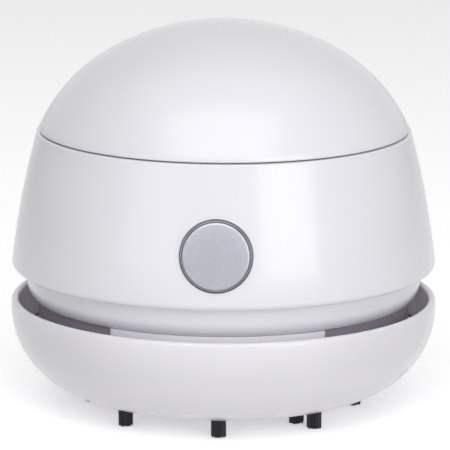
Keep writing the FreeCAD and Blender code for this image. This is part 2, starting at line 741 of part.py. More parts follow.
# Housing
def build_housing():
    body = new_body("main_housing")
    wall = S.housing_wall
    low = shoulder + S.skirt_edge_radius
    lip_width = band_radius - lip_radius
    lip_arc = (lip_width * lip_width + S.lip_height * S.lip_height) / (2 * lip_width)
    band_inner = band_radius - wall
    revolve(body, [
        (lip_radius, lip_bottom),
        (band_radius, lip_bottom + S.lip_height, lip_arc, 1),
        (band_radius, shoulder),
        (skirt_radius - S.skirt_edge_radius, shoulder),
        (skirt_radius, low, S.skirt_edge_radius * ROUNDING, 1),
        (seam_radius, seam - S.seam_edge_radius, S.housing_side_radius, 1),
        (seam_radius - S.seam_edge_radius, seam, S.seam_edge_radius * ROUNDING, 1),
        (seam_radius - wall, seam),
        (skirt_radius - wall, low + wall / 2, S.housing_side_radius, -1),
        (band_inner, shoulder + wall / 2),
        (band_inner, lip_bottom + S.lip_height),
        (lip_inner, lip_bottom + S.lip_height / 2),
        (lip_inner, lip_bottom + S.lip_chamfer),
        (lip_inner + S.lip_chamfer, lip_bottom),
    ])
    boss = new_sketch(body, level=motor_plate_top)
    circle(boss, S.boss_radius, y=housing_boss_circle)
    around(body, pad(body, boss, S.housing_boss_height), HOUSING_SCREWS)
    rib = new_sketch(body, level=motor_plate_top + S.housing_rib_start)
    rib_end = housing_side(motor_plate_top + S.housing_boss_height) - wall / 3
    rectangle(rib, -S.rib_thickness / 2, S.rib_thickness / 2, housing_boss_circle, rib_end)
    around(body, pad(body, rib, S.housing_boss_height - S.housing_rib_start), HOUSING_SCREWS)
    hole_depth = S.screw_length + S.boss_hole_spare - S.motor_plate_thickness - S.top_flange_thickness
    hole = new_sketch(body, level=motor_plate_top)
    circle(hole, S.screw_radius + S.screw_clearance, y=housing_boss_circle)
    around(body, pocket(body, hole, hole_depth), HOUSING_SCREWS)
    tray_boss = new_sketch(body, level=tray_bottom)
    circle(tray_boss, S.boss_radius, y=tray_boss_circle)
    around(body, pad(body, tray_boss, S.tray_boss_height, down=True), 2)
    tray_rib = new_sketch(body, level=tray_bottom)
    tray_rib_end = housing_side(tray_bottom) - wall / 3
    rectangle(tray_rib, -S.rib_thickness / 2, S.rib_thickness / 2, tray_boss_circle, tray_rib_end)
    around(body, pad(body, tray_rib, S.tray_rib_height, down=True), 2)
    tray_hole = new_sketch(body, level=tray_bottom)
    circle(tray_hole, S.screw_radius + S.screw_clearance, y=tray_boss_circle)
    hole_depth = S.screw_length + S.boss_hole_spare - S.tray_wall
    around(body, pocket(body, tray_hole, hole_depth, down=True), 2)
    posts = shell_sketch(body, -S.bracket_depth)
    for side in (-1, 1):
        circle(posts, S.boss_radius, side * S.bracket_pitch / 2)
    pad(body, posts, S.bracket_depth - S.switch_post_depth)
    post_holes = shell_sketch(body, -S.bracket_depth)
    for side in (-1, 1):
        circle(post_holes, S.screw_radius + S.screw_clearance, side * S.bracket_pitch / 2)
    pocket(body, post_holes, S.switch_screw_length + S.boss_hole_spare - S.bracket_thickness)
    opening = shell_sketch(body, -S.bezel_depth)
    circle(opening, bezel_radius + S.bezel_clearance)
    pocket(body, opening, S.bezel_depth + S.button_lift_height + wall)


def build_cover():
    body = new_body("dome_cover")
    wall = S.cover_wall
    inner_crown = S.crown_radius - wall
    inner_shoulder = S.shoulder_radius - wall
    sin_joint = sine(S.crown_angle)
    cos_joint = cosine(S.crown_angle)
    round_top = cover_rim + S.seam_edge_radius
    revolve(body, [
        (0, cover_top - wall),
        (inner_crown * sin_joint, crown_centre + inner_crown * cos_joint, inner_crown, -1),
        (cover_side(cover_rim, wall), cover_rim, inner_shoulder, -1),
        (cover_side(cover_rim) - S.seam_edge_radius, cover_rim),
        (cover_side(round_top), round_top, S.seam_edge_radius * ROUNDING, 1),
        (S.crown_radius * sin_joint, crown_centre + S.crown_radius * cos_joint, S.shoulder_radius, 1),
        (0, cover_top, S.crown_radius, 1),
    ])


# Fan and motor
def build_fan():
    body = new_body("impeller")
    bore = S.shaft_diameter / 2 + S.running_clearance
    revolve(body, [
        (bore, fan_bottom),
        (S.fan_hub_radius, fan_bottom),
        (S.fan_hub_radius, fan_disc_bottom),
        (S.fan_radius, fan_disc_bottom),
        (S.fan_radius, fan_top),
        (bore, fan_top),
    ])
    blade = new_sketch(body, level=fan_bottom)
    half = S.fan_blade / 2
    sweep = S.fan_blade_sweep
    tip_radius = S.fan_radius - half
    bend = S.fan_blade_bend
    root_in = S.fan_eye_radius
    tip_x = tip_radius * cosine(sweep)
    tip_y = tip_radius * sine(sweep)
    draw(blade, [
        (root_in, -half),
        (tip_x + half, tip_y - half, bend, 1),
        (tip_x - half, tip_y + half),
        (root_in, half, bend, -1),
    ])
    around(body, pad(body, blade, fan_top - half - fan_bottom), FAN_BLADES)


def build_motor_plate():
    body = new_body("motor_plate")
    plate = new_sketch(body, level=top_flange_top)
    circle(plate, neck_radius)
    pad(body, plate, S.motor_plate_thickness)
    holes = new_sketch(body, level=top_flange_top)
    circle(holes, S.motor_nose_radius + S.screw_clearance)
    for side in (-1, 1):
        circle(holes, S.motor_screw_radius + S.screw_clearance, side * S.motor_screw_circle)
    pocket(body, holes, S.motor_plate_thickness)
    screw_holes = new_sketch(body, level=top_flange_top)
    circle(screw_holes, S.screw_radius + S.screw_clearance, y=housing_boss_circle)
    around(body, pocket(body, screw_holes, S.motor_plate_thickness), HOUSING_SCREWS)


def flatted(sketch, radius, flats):
    """Circle with two flat sides, square to Y."""
    half = flats / 2
    corner = root(radius * radius - half * half)
    draw(sketch, [(corner, -half), (corner, half, radius, 1), (-corner, half), (-corner, -half, radius, 1)])


def build_motor():
    can = new_body("motor_can")
    outside = new_sketch(can, level=motor_plate_top)
    flatted(outside, S.motor_radius, S.motor_flats)
    pad(can, outside, S.motor_can_length)
    nose = new_sketch(can, level=motor_plate_top)
    circle(nose, S.motor_nose_radius)
    pad(can, nose, S.motor_nose_length, down=True)
    inside = new_sketch(can, level=motor_plate_top + S.motor_can_wall)
    flatted(inside, S.motor_radius - S.motor_can_wall, S.motor_flats - S.motor_can_wall * 2)
    pocket(can, inside, S.motor_can_length)
    bush_radius = S.motor_nose_radius - S.motor_can_wall
    holes = new_sketch(can, level=motor_plate_top - S.motor_nose_length)
    circle(holes, bush_radius + S.running_clearance)
    for side in (-1, 1):
        circle(holes, S.motor_screw_radius + S.screw_clearance, side * S.motor_screw_circle)
    pocket(can, holes, S.motor_nose_length + S.motor_can_wall)

    cap = new_body("motor_cap")
    cap_disc = new_sketch(cap, level=motor_can_top)
    flatted(cap_disc, S.motor_radius - S.motor_can_wall, S.motor_flats - S.motor_can_wall * 2)
    pad(cap, cap_disc, S.motor_cap_length)
    seat = new_sketch(cap, level=motor_can_top)
    circle(seat, bush_radius + S.running_clearance)
    pocket(cap, seat, S.motor_cap_length)

    bushings = new_body("motor_bushings")
    bore = S.shaft_diameter / 2 + S.running_clearance
    for low, length in ((motor_plate_top - S.motor_nose_length, S.motor_nose_length + S.motor_can_wall),
                        (motor_can_top, S.motor_cap_length)):
        ring = new_sketch(bushings, level=low)
        circle(ring, bush_radius)
        circle(ring, bore)
        pad(bushings, ring, length)

    magnets = new_body("motor_magnets")
    outer = S.motor_radius - S.motor_can_wall - S.running_clearance
    inner = outer - S.magnet_thickness
    arcs = new_sketch(magnets, level=motor_plate_top + S.motor_can_wall + S.magnet_thickness)
    spread = S.magnet_angle / 2
    draw(arcs, [
        (inner * cosine(spread), -inner * sine(spread)),
        (outer * cosine(spread), -outer * sine(spread)),
        (outer * cosine(spread), outer * sine(spread), outer, 1),
        (inner * cosine(spread), inner * sine(spread)),
    ])
    around(magnets, pad(magnets, arcs, S.armature_length), 2)


def build_rotor():
    shaft = new_body("motor_shaft")
    rod = new_sketch(shaft, level=fan_bottom)
    circle(rod, S.shaft_diameter / 2)
    pad(shaft, rod, shaft_top - fan_bottom)

    armature = new_body("motor_armature")
    low = motor_plate_top + S.motor_can_wall + S.magnet_thickness
    bore = S.shaft_diameter / 2 + S.running_clearance
    half_flat = S.motor_flats / 2 - S.motor_can_wall
    radius = half_flat - S.armature_gap
    core = new_sketch(armature, level=low)
    circle(core, S.armature_core_radius)
    circle(core, bore)
    pad(armature, core, S.armature_length)
    pole = new_sketch(armature, level=low)
    neck = S.pole_neck / 2
    foot = S.armature_core_radius - neck
    shoe = radius - S.pole_shoe
    tip_x = radius * cosine(S.pole_angle)
    tip_y = radius * sine(S.pole_angle)
    draw(pole, [
        (foot, -neck),
        (shoe, -neck),
        (tip_x, -tip_y),
        (tip_x, tip_y, radius, 1),
        (shoe, neck),
        (foot, neck),
    ])
    around(armature, pad(armature, pole, S.armature_length), ARMATURE_POLES)
    commutator = new_sketch(armature, level=low + S.armature_length)
    circle(commutator, S.commutator_radius)
    circle(commutator, bore)
    pad(armature, commutator, S.commutator_length)


def build_screws():
    housing = new_body("housing_screws")
    made = screw(housing, S.screw_radius, S.screw_head_radius, S.screw_head_height, S.screw_length,
                 housing_boss_circle, top_flange_bottom, head_up=False)
    around(housing, made, HOUSING_SCREWS)
    turned(housing, 90)
    tray = new_body("tray_screws")
    made = screw(tray, S.screw_radius, S.screw_head_radius, S.screw_head_height, S.screw_length,
                 tray_boss_circle, tray_floor, head_up=True)
    around(tray, made, 2)
    turned(tray, 90)
    motor = new_body("motor_screws")
    reach = S.motor_plate_thickness + S.motor_screw_bite
    made = screw(motor, S.motor_screw_radius, S.motor_screw_head_radius, S.motor_screw_head_height, reach,
                 S.motor_screw_circle, top_flange_top, head_up=False)
    around(motor, made, 2)


# Battery bay
def build_tray():
    body = new_body("battery_tray")
    wall = S.tray_wall
    revolve(body, [
        (0, tray_bottom),
        (tray_radius, tray_bottom),
        (tray_radius, spigot_top),
        (tray_radius - wall, spigot_top),
        (tray_radius - wall, tray_floor),
        (0, tray_floor),
    ])
    walls = new_sketch(body, level=tray_floor)
    inside = S.cell_length / 2 + S.contact_spring_length + S.contact_thickness
    half = S.end_wall_width / 2
    rectangle(walls, inside, inside + S.end_wall_thickness, -half, half)
    around(body, pad(body, walls, S.end_wall_height), 2)
    block = new_sketch(body, level=tray_floor)
    near = S.cell_length / 2 + S.contact_gap + S.contact_thickness
    rectangle(block, near, inside, cell_out - S.contact_width / 2, half)
    around(body, pad(body, block, S.end_wall_height), 2)
    rails = new_sketch(body, level=tray_floor)
    rail_in = cell_out + S.cell_diameter / 2 + S.cell_gap
    rail_out = rail_in + S.rail_thickness
    rectangle(rails, -S.rail_length / 2, S.rail_length / 2, rail_in, rail_out)
    rectangle(rails, -S.rail_length / 2, S.rail_length / 2, -rail_out, -rail_in)
    pad(body, rails, S.rail_height)
    holes = new_sketch(body, level=tray_bottom)
    for side in (-1, 1):
        circle(holes, S.screw_radius + S.screw_clearance, y=side * tray_boss_circle)
    pocket(body, holes, wall)


def build_cells():
    for label, side in (("battery_cell_front", -1), ("battery_cell_back", 1)):
        body = new_body(label)
        radius = S.cell_diameter / 2
        negative = -S.cell_length / 2
        positive = S.cell_length / 2
        shoulder_end = positive - S.cell_cap_length
        edge = S.cell_edge_radius
        revolve(body, [
            (0, negative),
            (radius - edge, negative),
            (radius, negative + edge, edge * ROUNDING, 1),
            (radius, shoulder_end - edge),
            (radius - edge, shoulder_end, edge * ROUNDING, 1),
            (S.cell_cap_radius, shoulder_end),
            (S.cell_cap_radius, positive),
            (0, positive),
        ])
        y = side * cell_out
        turn = FreeCAD.Rotation(Vector(0, 1, 0), 90 * side)
        body.Placement = FreeCAD.Placement(Vector(0, y.value, cell_centre.value), turn)
        body.setExpression("Placement.Base.y", y.formula)
        body.setExpression("Placement.Base.z", cell_centre.formula)


def build_contacts():
    body = new_body("contact_plates")
    half = S.contact_width / 2
    near = S.cell_length / 2 + S.contact_gap
    far = S.cell_length / 2 + S.contact_spring_length
    thick = S.contact_thickness
    plates = new_sketch(body, level=cell_centre - S.contact_height / 2)
    rectangle(plates, near, near + thick, cell_out - half, cell_out + half)
    rectangle(plates, far, far + thick, -cell_out - half, -cell_out + half)
    around(body, pad(body, plates, S.contact_height), 2)


def arc_through(start, direction, end):
    """Arc that leaves start along a direction and ends at end."""
    chord = end - start
    along = Vector(chord).normalize()
    aside = direction - along * direction.dot(along)
    turn = math.acos(min(1.0, direction.dot(along)))
    middle = start + chord * 0.5 + aside.normalize() * (chord.Length / 2 * math.tan(turn / 2))
    return Part.Arc(start, middle, end).toShape()


def coil(label, radius, wire, length, turns, shifts):
    """Springs along +Z, one at each shift, each an unbroken tube on pairs of arcs, a quarter turn to a pair."""
    pitch = (length - wire) / turns
    gap = pitch * math.cos(math.atan(pitch / (2 * math.pi * radius))) - wire
    print("%s: least gap between turns %.2f mm" % (label, gap))
    solids = []
    for shift in shifts:
        places = []
        ways = []
        for quarter in range(turns * 4 + 1):
            angle = quarter * math.pi / 2
            rise = wire / 2 + pitch * quarter / 4
            places.append(shift + Vector(radius * math.cos(angle), radius * math.sin(angle), rise))
            slope = pitch / (2 * math.pi)
            ways.append(Vector(-radius * math.sin(angle), radius * math.cos(angle), slope).normalize())
        edges = []
        for index in range(turns * 4):
            start, end = places[index], places[index + 1]
            way_in, way_out = ways[index], ways[index + 1]
            span = end - start
            both = span.dot(way_in + way_out)
            bend = 2 * (1 - way_in.dot(way_out))
            reach = (math.sqrt(both * both + bend * span.dot(span)) - both) / bend
            joint = (start + way_in * reach + end - way_out * reach) * 0.5
            middle_way = (end - way_out * reach - start - way_in * reach).normalize()
            edges.append(arc_through(start, way_in, joint))
            edges.append(arc_through(joint, middle_way, end))
        path = Part.Wire(edges)
        section = Part.Wire([Part.makeCircle(wire / 2, places[0], ways[0])])
        solids.append(path.makePipeShell([section], True, False))
    made = doc.addObject("Part::Feature", label)
    made.Label = label
    made.Shape = solids[0] if len(solids) == 1 else Part.Compound(solids)
    return made


def build_springs():
    clear = S.spring_clearance.value
    length = S.contact_spring_length.value - 2 * clear
    start = S.cell_length.value / 2 + clear
    springs = coil("contact_springs", S.contact_spring_radius.value, S.contact_wire.value, length,
                   CONTACT_SPRING_TURNS, [Vector(0, -cell_out.value, start)])
    front = springs.Shape.copy()
    front.rotate(Vector(0, 0, 0), Vector(0, 1, 0), 90)
    back = front.copy()
    back.rotate(Vector(0, 0, 0), Vector(0, 0, 1), 180)
    springs.Shape = Part.Compound([front, back])
    springs.Placement = FreeCAD.Placement(Vector(0, 0, cell_centre.value), FreeCAD.Rotation())

    floor_top = S.bezel_floor.value - S.bezel_depth.value
    inner_face = S.button_lift_height.value - S.button_face_thickness.value
    spring = coil("button_spring", S.button_spring_radius.value, S.button_wire.value,
                  inner_face - floor_top - 2 * clear, BUTTON_SPRING_TURNS, [Vector(0, 0, floor_top + clear)])
    turn = FreeCAD.Rotation(Vector(1, 0, 0), button_turn.value)
    spring.Placement = FreeCAD.Placement(Vector(0, -button_out.value, button_level.value), turn)


# Button and switch
def build_button():
    cap = new_body("button_cap")
    face = S.button_lift_height
    edge = S.button_edge_radius
    rim_level = face - S.button_depth
    under_face = face - S.button_face_thickness
    revolve(cap, [
        (0, -S.stem_end_depth),
        (S.stem_radius, -S.stem_end_depth),
        (S.stem_radius, under_face),
        (S.button_radius - S.button_wall, under_face),
        (S.button_radius - S.button_wall, rim_level),
        (S.button_radius, rim_level),
        (S.button_radius, face - edge),
        (S.button_radius - edge, face, edge * ROUNDING, 1),
        (0, face),
    ])
    place_on_shell(cap)

    bezel = new_body("button_bezel")
    outer = bezel_radius
    inner = S.button_radius + S.button_clearance
    floor_top = S.bezel_floor - S.bezel_depth
    collar_top = -S.bezel_collar_depth
    stem_hole = S.stem_radius + S.stem_clearance
    round_off = S.bezel_wall / 2
    revolve(bezel, [
        (stem_hole, -S.bezel_depth),
        (outer, -S.bezel_depth),
        (outer, collar_top - S.bezel_collar_thickness),
        (outer + S.bezel_collar, collar_top - S.bezel_collar_thickness),
        (outer + S.bezel_collar, collar_top),
        (outer, collar_top),
        (outer, S.bezel_lift_height - round_off),
        (inner, S.bezel_lift_height - round_off, round_off * ROUNDING, 1),
        (inner, floor_top),
        (stem_hole, floor_top),
    ])
    place_on_shell(bezel)


def build_switch():
    bracket_back = -S.bracket_depth - S.bracket_thickness
    stem_hole = S.switch_stem / 2 + S.switch_stem_clearance
    bracket = new_body("switch_bracket")
    plate = new_sketch(bracket, level=bracket_back)
    rectangle(plate, -S.bracket_width / 2, S.bracket_width / 2, -S.bracket_height / 2, S.bracket_height / 2)
    for side in (-1, 1):
        circle(plate, S.screw_radius + S.screw_clearance, side * S.bracket_pitch / 2)
    rectangle(plate, -stem_hole, stem_hole, -stem_hole, stem_hole)
    pad(bracket, plate, S.bracket_thickness)
    place_on_shell(bracket)

    body = new_body("switch_body")
    half = S.switch_width / 2
    box = new_sketch(body, level=bracket_back - S.switch_length)
    rectangle(box, -half, half, -half, half)
    pad(body, box, S.switch_length)
    well_depth = S.switch_stem_length + S.button_travel
    well = new_sketch(body, level=bracket_back)
    rectangle(well, -stem_hole, stem_hole, -stem_hole, stem_hole)
    pocket(body, well, well_depth, down=True)
    place_on_shell(body)

    stem = new_body("switch_plunger")
    stem_top = -S.stem_end_depth - S.switch_stem_gap
    rod = new_sketch(stem, level=stem_top)
    half_stem = S.switch_stem / 2
    rectangle(rod, -half_stem, half_stem, -half_stem, half_stem)
    pad(stem, rod, S.switch_stem_length, down=True)
    place_on_shell(stem)

    screws = new_body("switch_screws")
    made = screw(screws, S.screw_radius, S.screw_head_radius, S.screw_head_height, S.switch_screw_length,
                 S.bracket_pitch / 2, bracket_back, head_up=False)
    around(screws, made, 2)
    place_on_shell(screws)


build_bowl()
build_tufts()
build_duct()
build_neck()
build_seal()
build_filter()
build_housing()
build_cover()
build_fan()
build_motor_plate()
build_motor()
build_rotor()
build_screws()
build_tray()
build_cells()
build_contacts()
build_springs()
build_button()
build_switch()

doc.recompute()

CUTS = ("PartDesign::Pocket", "PartDesign::Groove")


def check_document():
    """Stop at anything that failed, and at any cut that took nothing away."""
    for thing in doc.Objects:
        if "Invalid" in thing.State or "Error" in thing.State:
            raise RuntimeError("%s failed: %s" % (thing.Label, thing.State))
        if thing.TypeId in CUTS and thing.Shape.Volume > thing.BaseFeature.Shape.Volume - 1e-6:
            raise RuntimeError("%s cuts nothing" % thing.Label)


def sub_parts():
    kinds = ("PartDesign::Body", "Part::Feature")
    return [thing for thing in doc.Objects if thing.TypeId in kinds]


check_document()
os.makedirs("parts", exist_ok=True)
for sub_part in sub_parts():
    if sub_part.Shape.isNull() or not sub_part.Shape.isValid():
        raise RuntimeError("%s has no valid shape" % sub_part.Label)
for sub_part in sub_parts():
    sub_part.Shape.exportStep("parts/%s.step" % sub_part.Label)
    print("%s: %d solid(s), %.1f mm3" % (sub_part.Label, len(sub_part.Shape.Solids), sub_part.Shape.Volume))
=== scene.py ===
import math
import random

import bmesh
import bpy
from bpy.props import FloatProperty, FloatVectorProperty, IntProperty, PointerProperty
from mathutils import Matrix, Vector


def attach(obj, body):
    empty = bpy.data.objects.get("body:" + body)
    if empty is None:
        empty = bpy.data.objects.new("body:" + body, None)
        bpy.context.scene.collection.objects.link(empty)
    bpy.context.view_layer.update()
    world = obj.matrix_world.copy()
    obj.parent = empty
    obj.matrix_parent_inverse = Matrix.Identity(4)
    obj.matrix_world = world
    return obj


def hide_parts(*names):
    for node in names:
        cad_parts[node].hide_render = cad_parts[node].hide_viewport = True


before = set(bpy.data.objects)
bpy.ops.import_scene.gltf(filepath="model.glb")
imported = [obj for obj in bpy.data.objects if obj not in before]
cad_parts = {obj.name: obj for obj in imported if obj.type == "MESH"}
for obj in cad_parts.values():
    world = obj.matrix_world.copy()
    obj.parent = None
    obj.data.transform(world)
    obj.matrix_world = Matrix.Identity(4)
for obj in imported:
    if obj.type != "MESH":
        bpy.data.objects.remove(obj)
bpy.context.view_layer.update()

bl_info = {
    "name": "Desk Vacuum Cleaner",
    "version": (1, 0, 0),
    "blender": (4, 5, 0),
    "location": "3D View > Sidebar > Desk Vacuum",
    "description": "Shells, button, bristles, insides and studio of a small desk vacuum cleaner",
    "category": "Object",
}

MM = 0.001
TAU = math.tau
ABS_IOR, NYLON_IOR = 1.54, 1.53
# scale at which a wave texture repeats about once per unit
WAVE_SCALE = 0.3183
# edges sharper than this stay sharp in the shading
SMOOTH_ANGLE = math.radians(35)
# a quarter circle's radius is this much longer than its legs, so that the arc always fits
EASE = 0.01 * MM
# the photograph's width in pixels, and where the point that the camera looks at lies in it
PHOTO_WIDTH = 450
PHOTO_AIM = (223.77, 225.32)


def linear(code):
    """Linear colour, with full alpha, of an sRGB hex value such as #E9E8EF."""
    parts = [int(code[start : start + 2], 16) / 255 for start in (1, 3, 5)]
    return tuple(c / 12.92 if c <= 0.04045 else ((c + 0.055) / 1.055) ** 2.4 for c in parts) + (1.0,)


def length(millimetres, note):
    """A length as a property in metres."""
    return FloatProperty(
        description=note,
        default=millimetres * MM,
        min=0.0,
        precision=5,
        subtype="DISTANCE",
        unit="LENGTH",
    )


def angle(degrees, note):
    """An angle as a property in radians."""
    turn = math.radians(degrees)
    return FloatProperty(description=note, default=turn, subtype="ANGLE", unit="ROTATION")


def swatch(code, note):
    """A colour as a property."""
    return FloatVectorProperty(
        description=note, default=linear(code), size=4, min=0.0, max=1.0, subtype="COLOR"
    )


def amount(value, note):
    """A plain number as a property."""
    return FloatProperty(description=note, default=value, min=0.0)


def count(number, note, least=1):
    """A whole number as a property."""
    return IntProperty(description=note, default=number, min=least)


def named(group):
    """Name each property of a group after itself, such as Bowl Radius for bowl_radius."""
    for label, prop in group.__annotations__.items():
        prop.keywords["name"] = label.replace("_", " ").title()
    return group


@named
class DESKVAC_PG_shells(bpy.types.PropertyGroup):
    """Sizes of the four outer shells, as the solids have them."""

    bowl_radius: length(43.0, "Bowl at its widest")
    bowl_flat: length(16.2, "Radius of the flat middle of the underside")
    bowl_bottom: length(2.1, "Desk to the underside of the bowl")
    bowl_widest: length(20.9, "Height of the widest circle")
    bowl_rim: length(22.8, "Height of the bowl's rim")
    bowl_turn: angle(72.2, "Angle at which the side arc meets the lower arc")
    bowl_wall: length(1.4, "Wall of the bowl")
    bowl_hole: length(8.25, "Radius of the hole for the intake duct")
    ledge: length(14.5, "Height of the ledge inside the bowl")
    ledge_width: length(1.7, "Ledge, from the wall inwards")
    lip_bottom: length(23.2, "Height of the housing's lower edge")
    lip_radius: length(38.4, "Outside of the lip at its lower edge")
    lip_inner: length(37.5, "Inside of the lip")
    lip_height: length(3.2, "Rounded part of the tucked-in band")
    band_radius: length(39.8, "Tucked-in band")
    shoulder: length(28.95, "Height of the shoulder above the band")
    skirt_radius: length(42.8, "Housing at its widest")
    skirt_edge: length(1.4, "Rounded lower edge of the skirt")
    side_bulge: length(171.0, "Radius of the curve of the housing's side")
    seam: length(56.8, "Height of the seam")
    seam_gap: length(0.25, "Dark line between housing and cover")
    seam_inset: length(0.3, "Cover inside the housing's outline at the seam")
    housing_wall: length(1.8, "Wall of the housing")
    cover_top: length(78.85, "Height of the top of the cover")
    crown: length(46.8, "Radius of the cover's crown")
    crown_angle: angle(30.8, "Angle at which the crown meets the shoulder arc")
    cover_shoulder: length(33.1, "Radius of the cover's shoulder arc")
    cover_wall: length(1.6, "Wall of the cover")
    corner: length(0.16, "Small rounding of moulded corners")
    fine_corner: length(0.1, "Small rounding of the housing's corners")
    rim_edge: length(0.35, "Rounded edges of the housing and the cover at the seam")
    lip_edge: length(0.25, "Slanted inner edge of the lip")
    steps: count(192, "Steps round a shell", 24)


@named
class DESKVAC_PG_neck(bpy.types.PropertyGroup):
    """Sizes of the neck with the exhaust windows and of the screen round it, a sleeve whose mauve grey is
    painted shade.
    """

    radius: length(37.3, "Outside of the neck")
    wall: length(1.6, "Wall of the neck")
    duct_hole: length(9.0, "Radius of the deck's hole for the fan")
    deck_low: length(2.4, "Neck below the bowl's ledge")
    flange_low: length(0.3, "Bowl's ledge to the underside of the flange")
    flange_top: length(1.7, "Bowl's ledge to the top of the flange")
    flange_reach: length(1.9, "Flange outside the neck")
    sill: length(0.6, "Flange to the windows")
    lintel: length(6.6, "Flange to the top of the windows")
    top_low: length(0.4, "Top of the windows to the underside of the top ring")
    top_high: length(1.8, "Top of the windows to the top of the neck")
    top_reach: length(8.3, "Top ring, from the outside inwards")
    panel_radius: length(38.6, "Outside of the closed panels, flush with the lip")
    panel_gap: length(0.1, "Closed panel to the lip above it")
    panel_edge: length(0.5, "Rounded upright edges of panels and posts")
    front_panel: angle(33.2, "Half of the closed panel at the front and at the back")
    side_post: angle(3.5, "Half of the post at each side")
    sink: length(0.05, "Panels sunk into the rings, so that no two faces lie in one plane")
    # the screen is a mauve sleeve of painted shade, standing for the shaded insides behind the exhaust
    # windows
    screen_depth: length(0.25, "Woven screen wrapped round the neck over the windows")
    screen_gap: length(0.02, "Neck to the screen")
    screen_low: length(0.1, "Flange to the screen")
    screen_top: length(0.3, "Screen to the lip above it")
    screen_corner: length(0.06, "Rounded edges of the screen")


@named
class DESKVAC_PG_button(bpy.types.PropertyGroup):
    """Sizes of the push button and its ring."""

    rise: length(10.75, "Shoulder of the housing to the middle of the button")
    tilt: angle(8.9, "Upward tilt of the button")
    radius: length(6.54, "Push button")
    proud: length(1.0, "Face of the button in front of the shell")
    edge: length(0.45, "Bevelled edge of the button")
    crown: length(0.12, "How much the face is fuller in the middle than at its edge")
    depth: length(3.4, "Button from face to rim")
    wall: length(0.8, "Wall of the button")
    face: length(1.4, "Thickness of the button's face")
    stem_radius: length(1.8, "Stem of the button")
    stem_reach: length(9.0, "Shell to the end of the stem")
    ring_inner: length(6.62, "Inside radius of the ring")
    ring_face: length(6.84, "Outside radius of the ring's face, inside a fine groove")
    ring_outer: length(7.12, "Outside radius of the ring's tube")
    groove: length(1.2, "Depth of the groove between the ring's face and the shell")
    ring_proud: length(0.3, "Ring in front of the shell")
    ring_depth: length(6.6, "Shell to the back of the ring's tube")
    ring_floor: length(1.2, "Floor of the ring's tube")
    collar: length(1.0, "Collar behind the shell")
    collar_depth: length(2.9, "Shell to the collar")
    corner: length(0.08, "Small rounding of the button's corners")
    ring_corner: length(0.06, "Small rounding of the ring's corners")
    clearance: length(0.04, "Ring to the housing round it")
    stem_clearance: length(0.08, "Stem to the ring's floor")
    bore: length(16.0, "Length of the cut for the ring through the housing")
    steps: count(96, "Steps round the button", 24)


@named
class DESKVAC_PG_bristles(bpy.types.PropertyGroup):
    """Sizes and counts of the bristle tufts."""

    tuft_radius: length(1.6, "One tuft of bristles")
    bristle_radius: length(0.13, "One bristle")
    spacing: length(0.3, "Between the middles of neighbouring bristles")
    ragged: length(0.3, "How much shorter the shortest bristle is than the longest")
    outer_circle: length(26.6, "Radius of the outer ring of tufts")
    inner_circle: length(21.5, "Radius of the inner ring of tufts")
    outer_count: count(8, "Tufts in the outer ring")
    inner_count: count(3, "Tufts in the inner ring")
    lean: length(0.1, "How far a bristle leans")
    scatter: amount(0.16, "Share of the spacing that bristles stray")
    sunk: length(1.0, "Bristles above the socket's mouth")
    socket_wall: length(1.15, "Wall of a tuft's socket")
    socket_low: length(0.3, "Mouth of the socket to its lower end, inside the bowl's wall")
    socket_top: length(3.7, "Mouth of the socket to its top")
    socket_play: length(0.05, "Tuft to its socket")
    socket_steps: count(48, "Steps round a socket", 12)
    socket_edge: length(0.3, "Rounded upper edge of the socket")


@named
class DESKVAC_PG_colours(bpy.types.PropertyGroup):
    """Colours that a user would change."""

    shell: swatch("#EDECF2", "Dome cover and housing")
    bowl: swatch("#EFEBF4", "Dust bowl")
    # lighter than the shell's white: painted light that lifts the neck, which stands in shade under the
    # housing
    neck: swatch("#F6F5FA", "Neck with the exhaust windows")
    # the screen's mauve grey is painted shade for the shaded insides behind the exhaust windows
    screen: swatch("#A79CAA", "Woven screen round the neck")
    inside: swatch("#A9A7AF", "Ducts, plates and frames inside")
    tray: swatch("#DAD9DC", "Battery tray and switch stem")
    bristle: swatch("#0B0B0C", "Bristles")
    button: swatch("#A9AAB2", "Face of the push button")
    ring: swatch("#9C9CA4", "Ring round the push button")
    cell: swatch("#3C4654", "Sleeve of the battery cells")
    cell_band: swatch("#B9895B", "Band on the sleeve at the positive end")
    floor: swatch("#FAFAFA", "Studio floor")


@named
class DESKVAC_PG_studio(bpy.types.PropertyGroup):
    """Camera and lights."""

    azimuth: angle(2.0, "Camera to the right of the front")
    elevation: angle(12.0, "Camera above the horizon")
    distance: length(765.0, "Camera to the middle of the object")
    look_height: length(37.0, "Height that the camera looks at")
    lens: amount(302.4, "Focal length in millimetres")
    roll: angle(0.2, "Turn of the camera about its view")
    left: amount(0.7, "Power of the left softbox in watts")
    right: amount(2.2, "Power of the right softbox in watts")
    front: amount(4.4, "Power of the front softbox in watts")
    top: amount(1.7, "Power of the top softbox in watts")
    ambient: amount(0.13, "Strength of the surroundings")
    floor_glow: amount(0.5, "How strongly the floor is seen as white")


@named
class DESKVAC_PG_settings(bpy.types.PropertyGroup):
    """All the settings of the desk vacuum cleaner."""

    shells: PointerProperty(type=DESKVAC_PG_shells)
    neck: PointerProperty(type=DESKVAC_PG_neck)
    button: PointerProperty(type=DESKVAC_PG_button)
    bristles: PointerProperty(type=DESKVAC_PG_bristles)
    colours: PointerProperty(type=DESKVAC_PG_colours)
    studio: PointerProperty(type=DESKVAC_PG_studio)


# Materials


def add_node(tree, kind, settings=None):
    """Add a node and set its options and inputs. Another node's output given as a value is linked."""
    node = tree.nodes.new(kind)
    for name, value in (settings or {}).items():
        if isinstance(value, bpy.types.NodeSocket):
            tree.links.new(value, node.inputs[name])
        elif isinstance(name, str) and hasattr(node, name):
            setattr(node, name, value)
        else:
            node.inputs[name].default_value = value
    return node


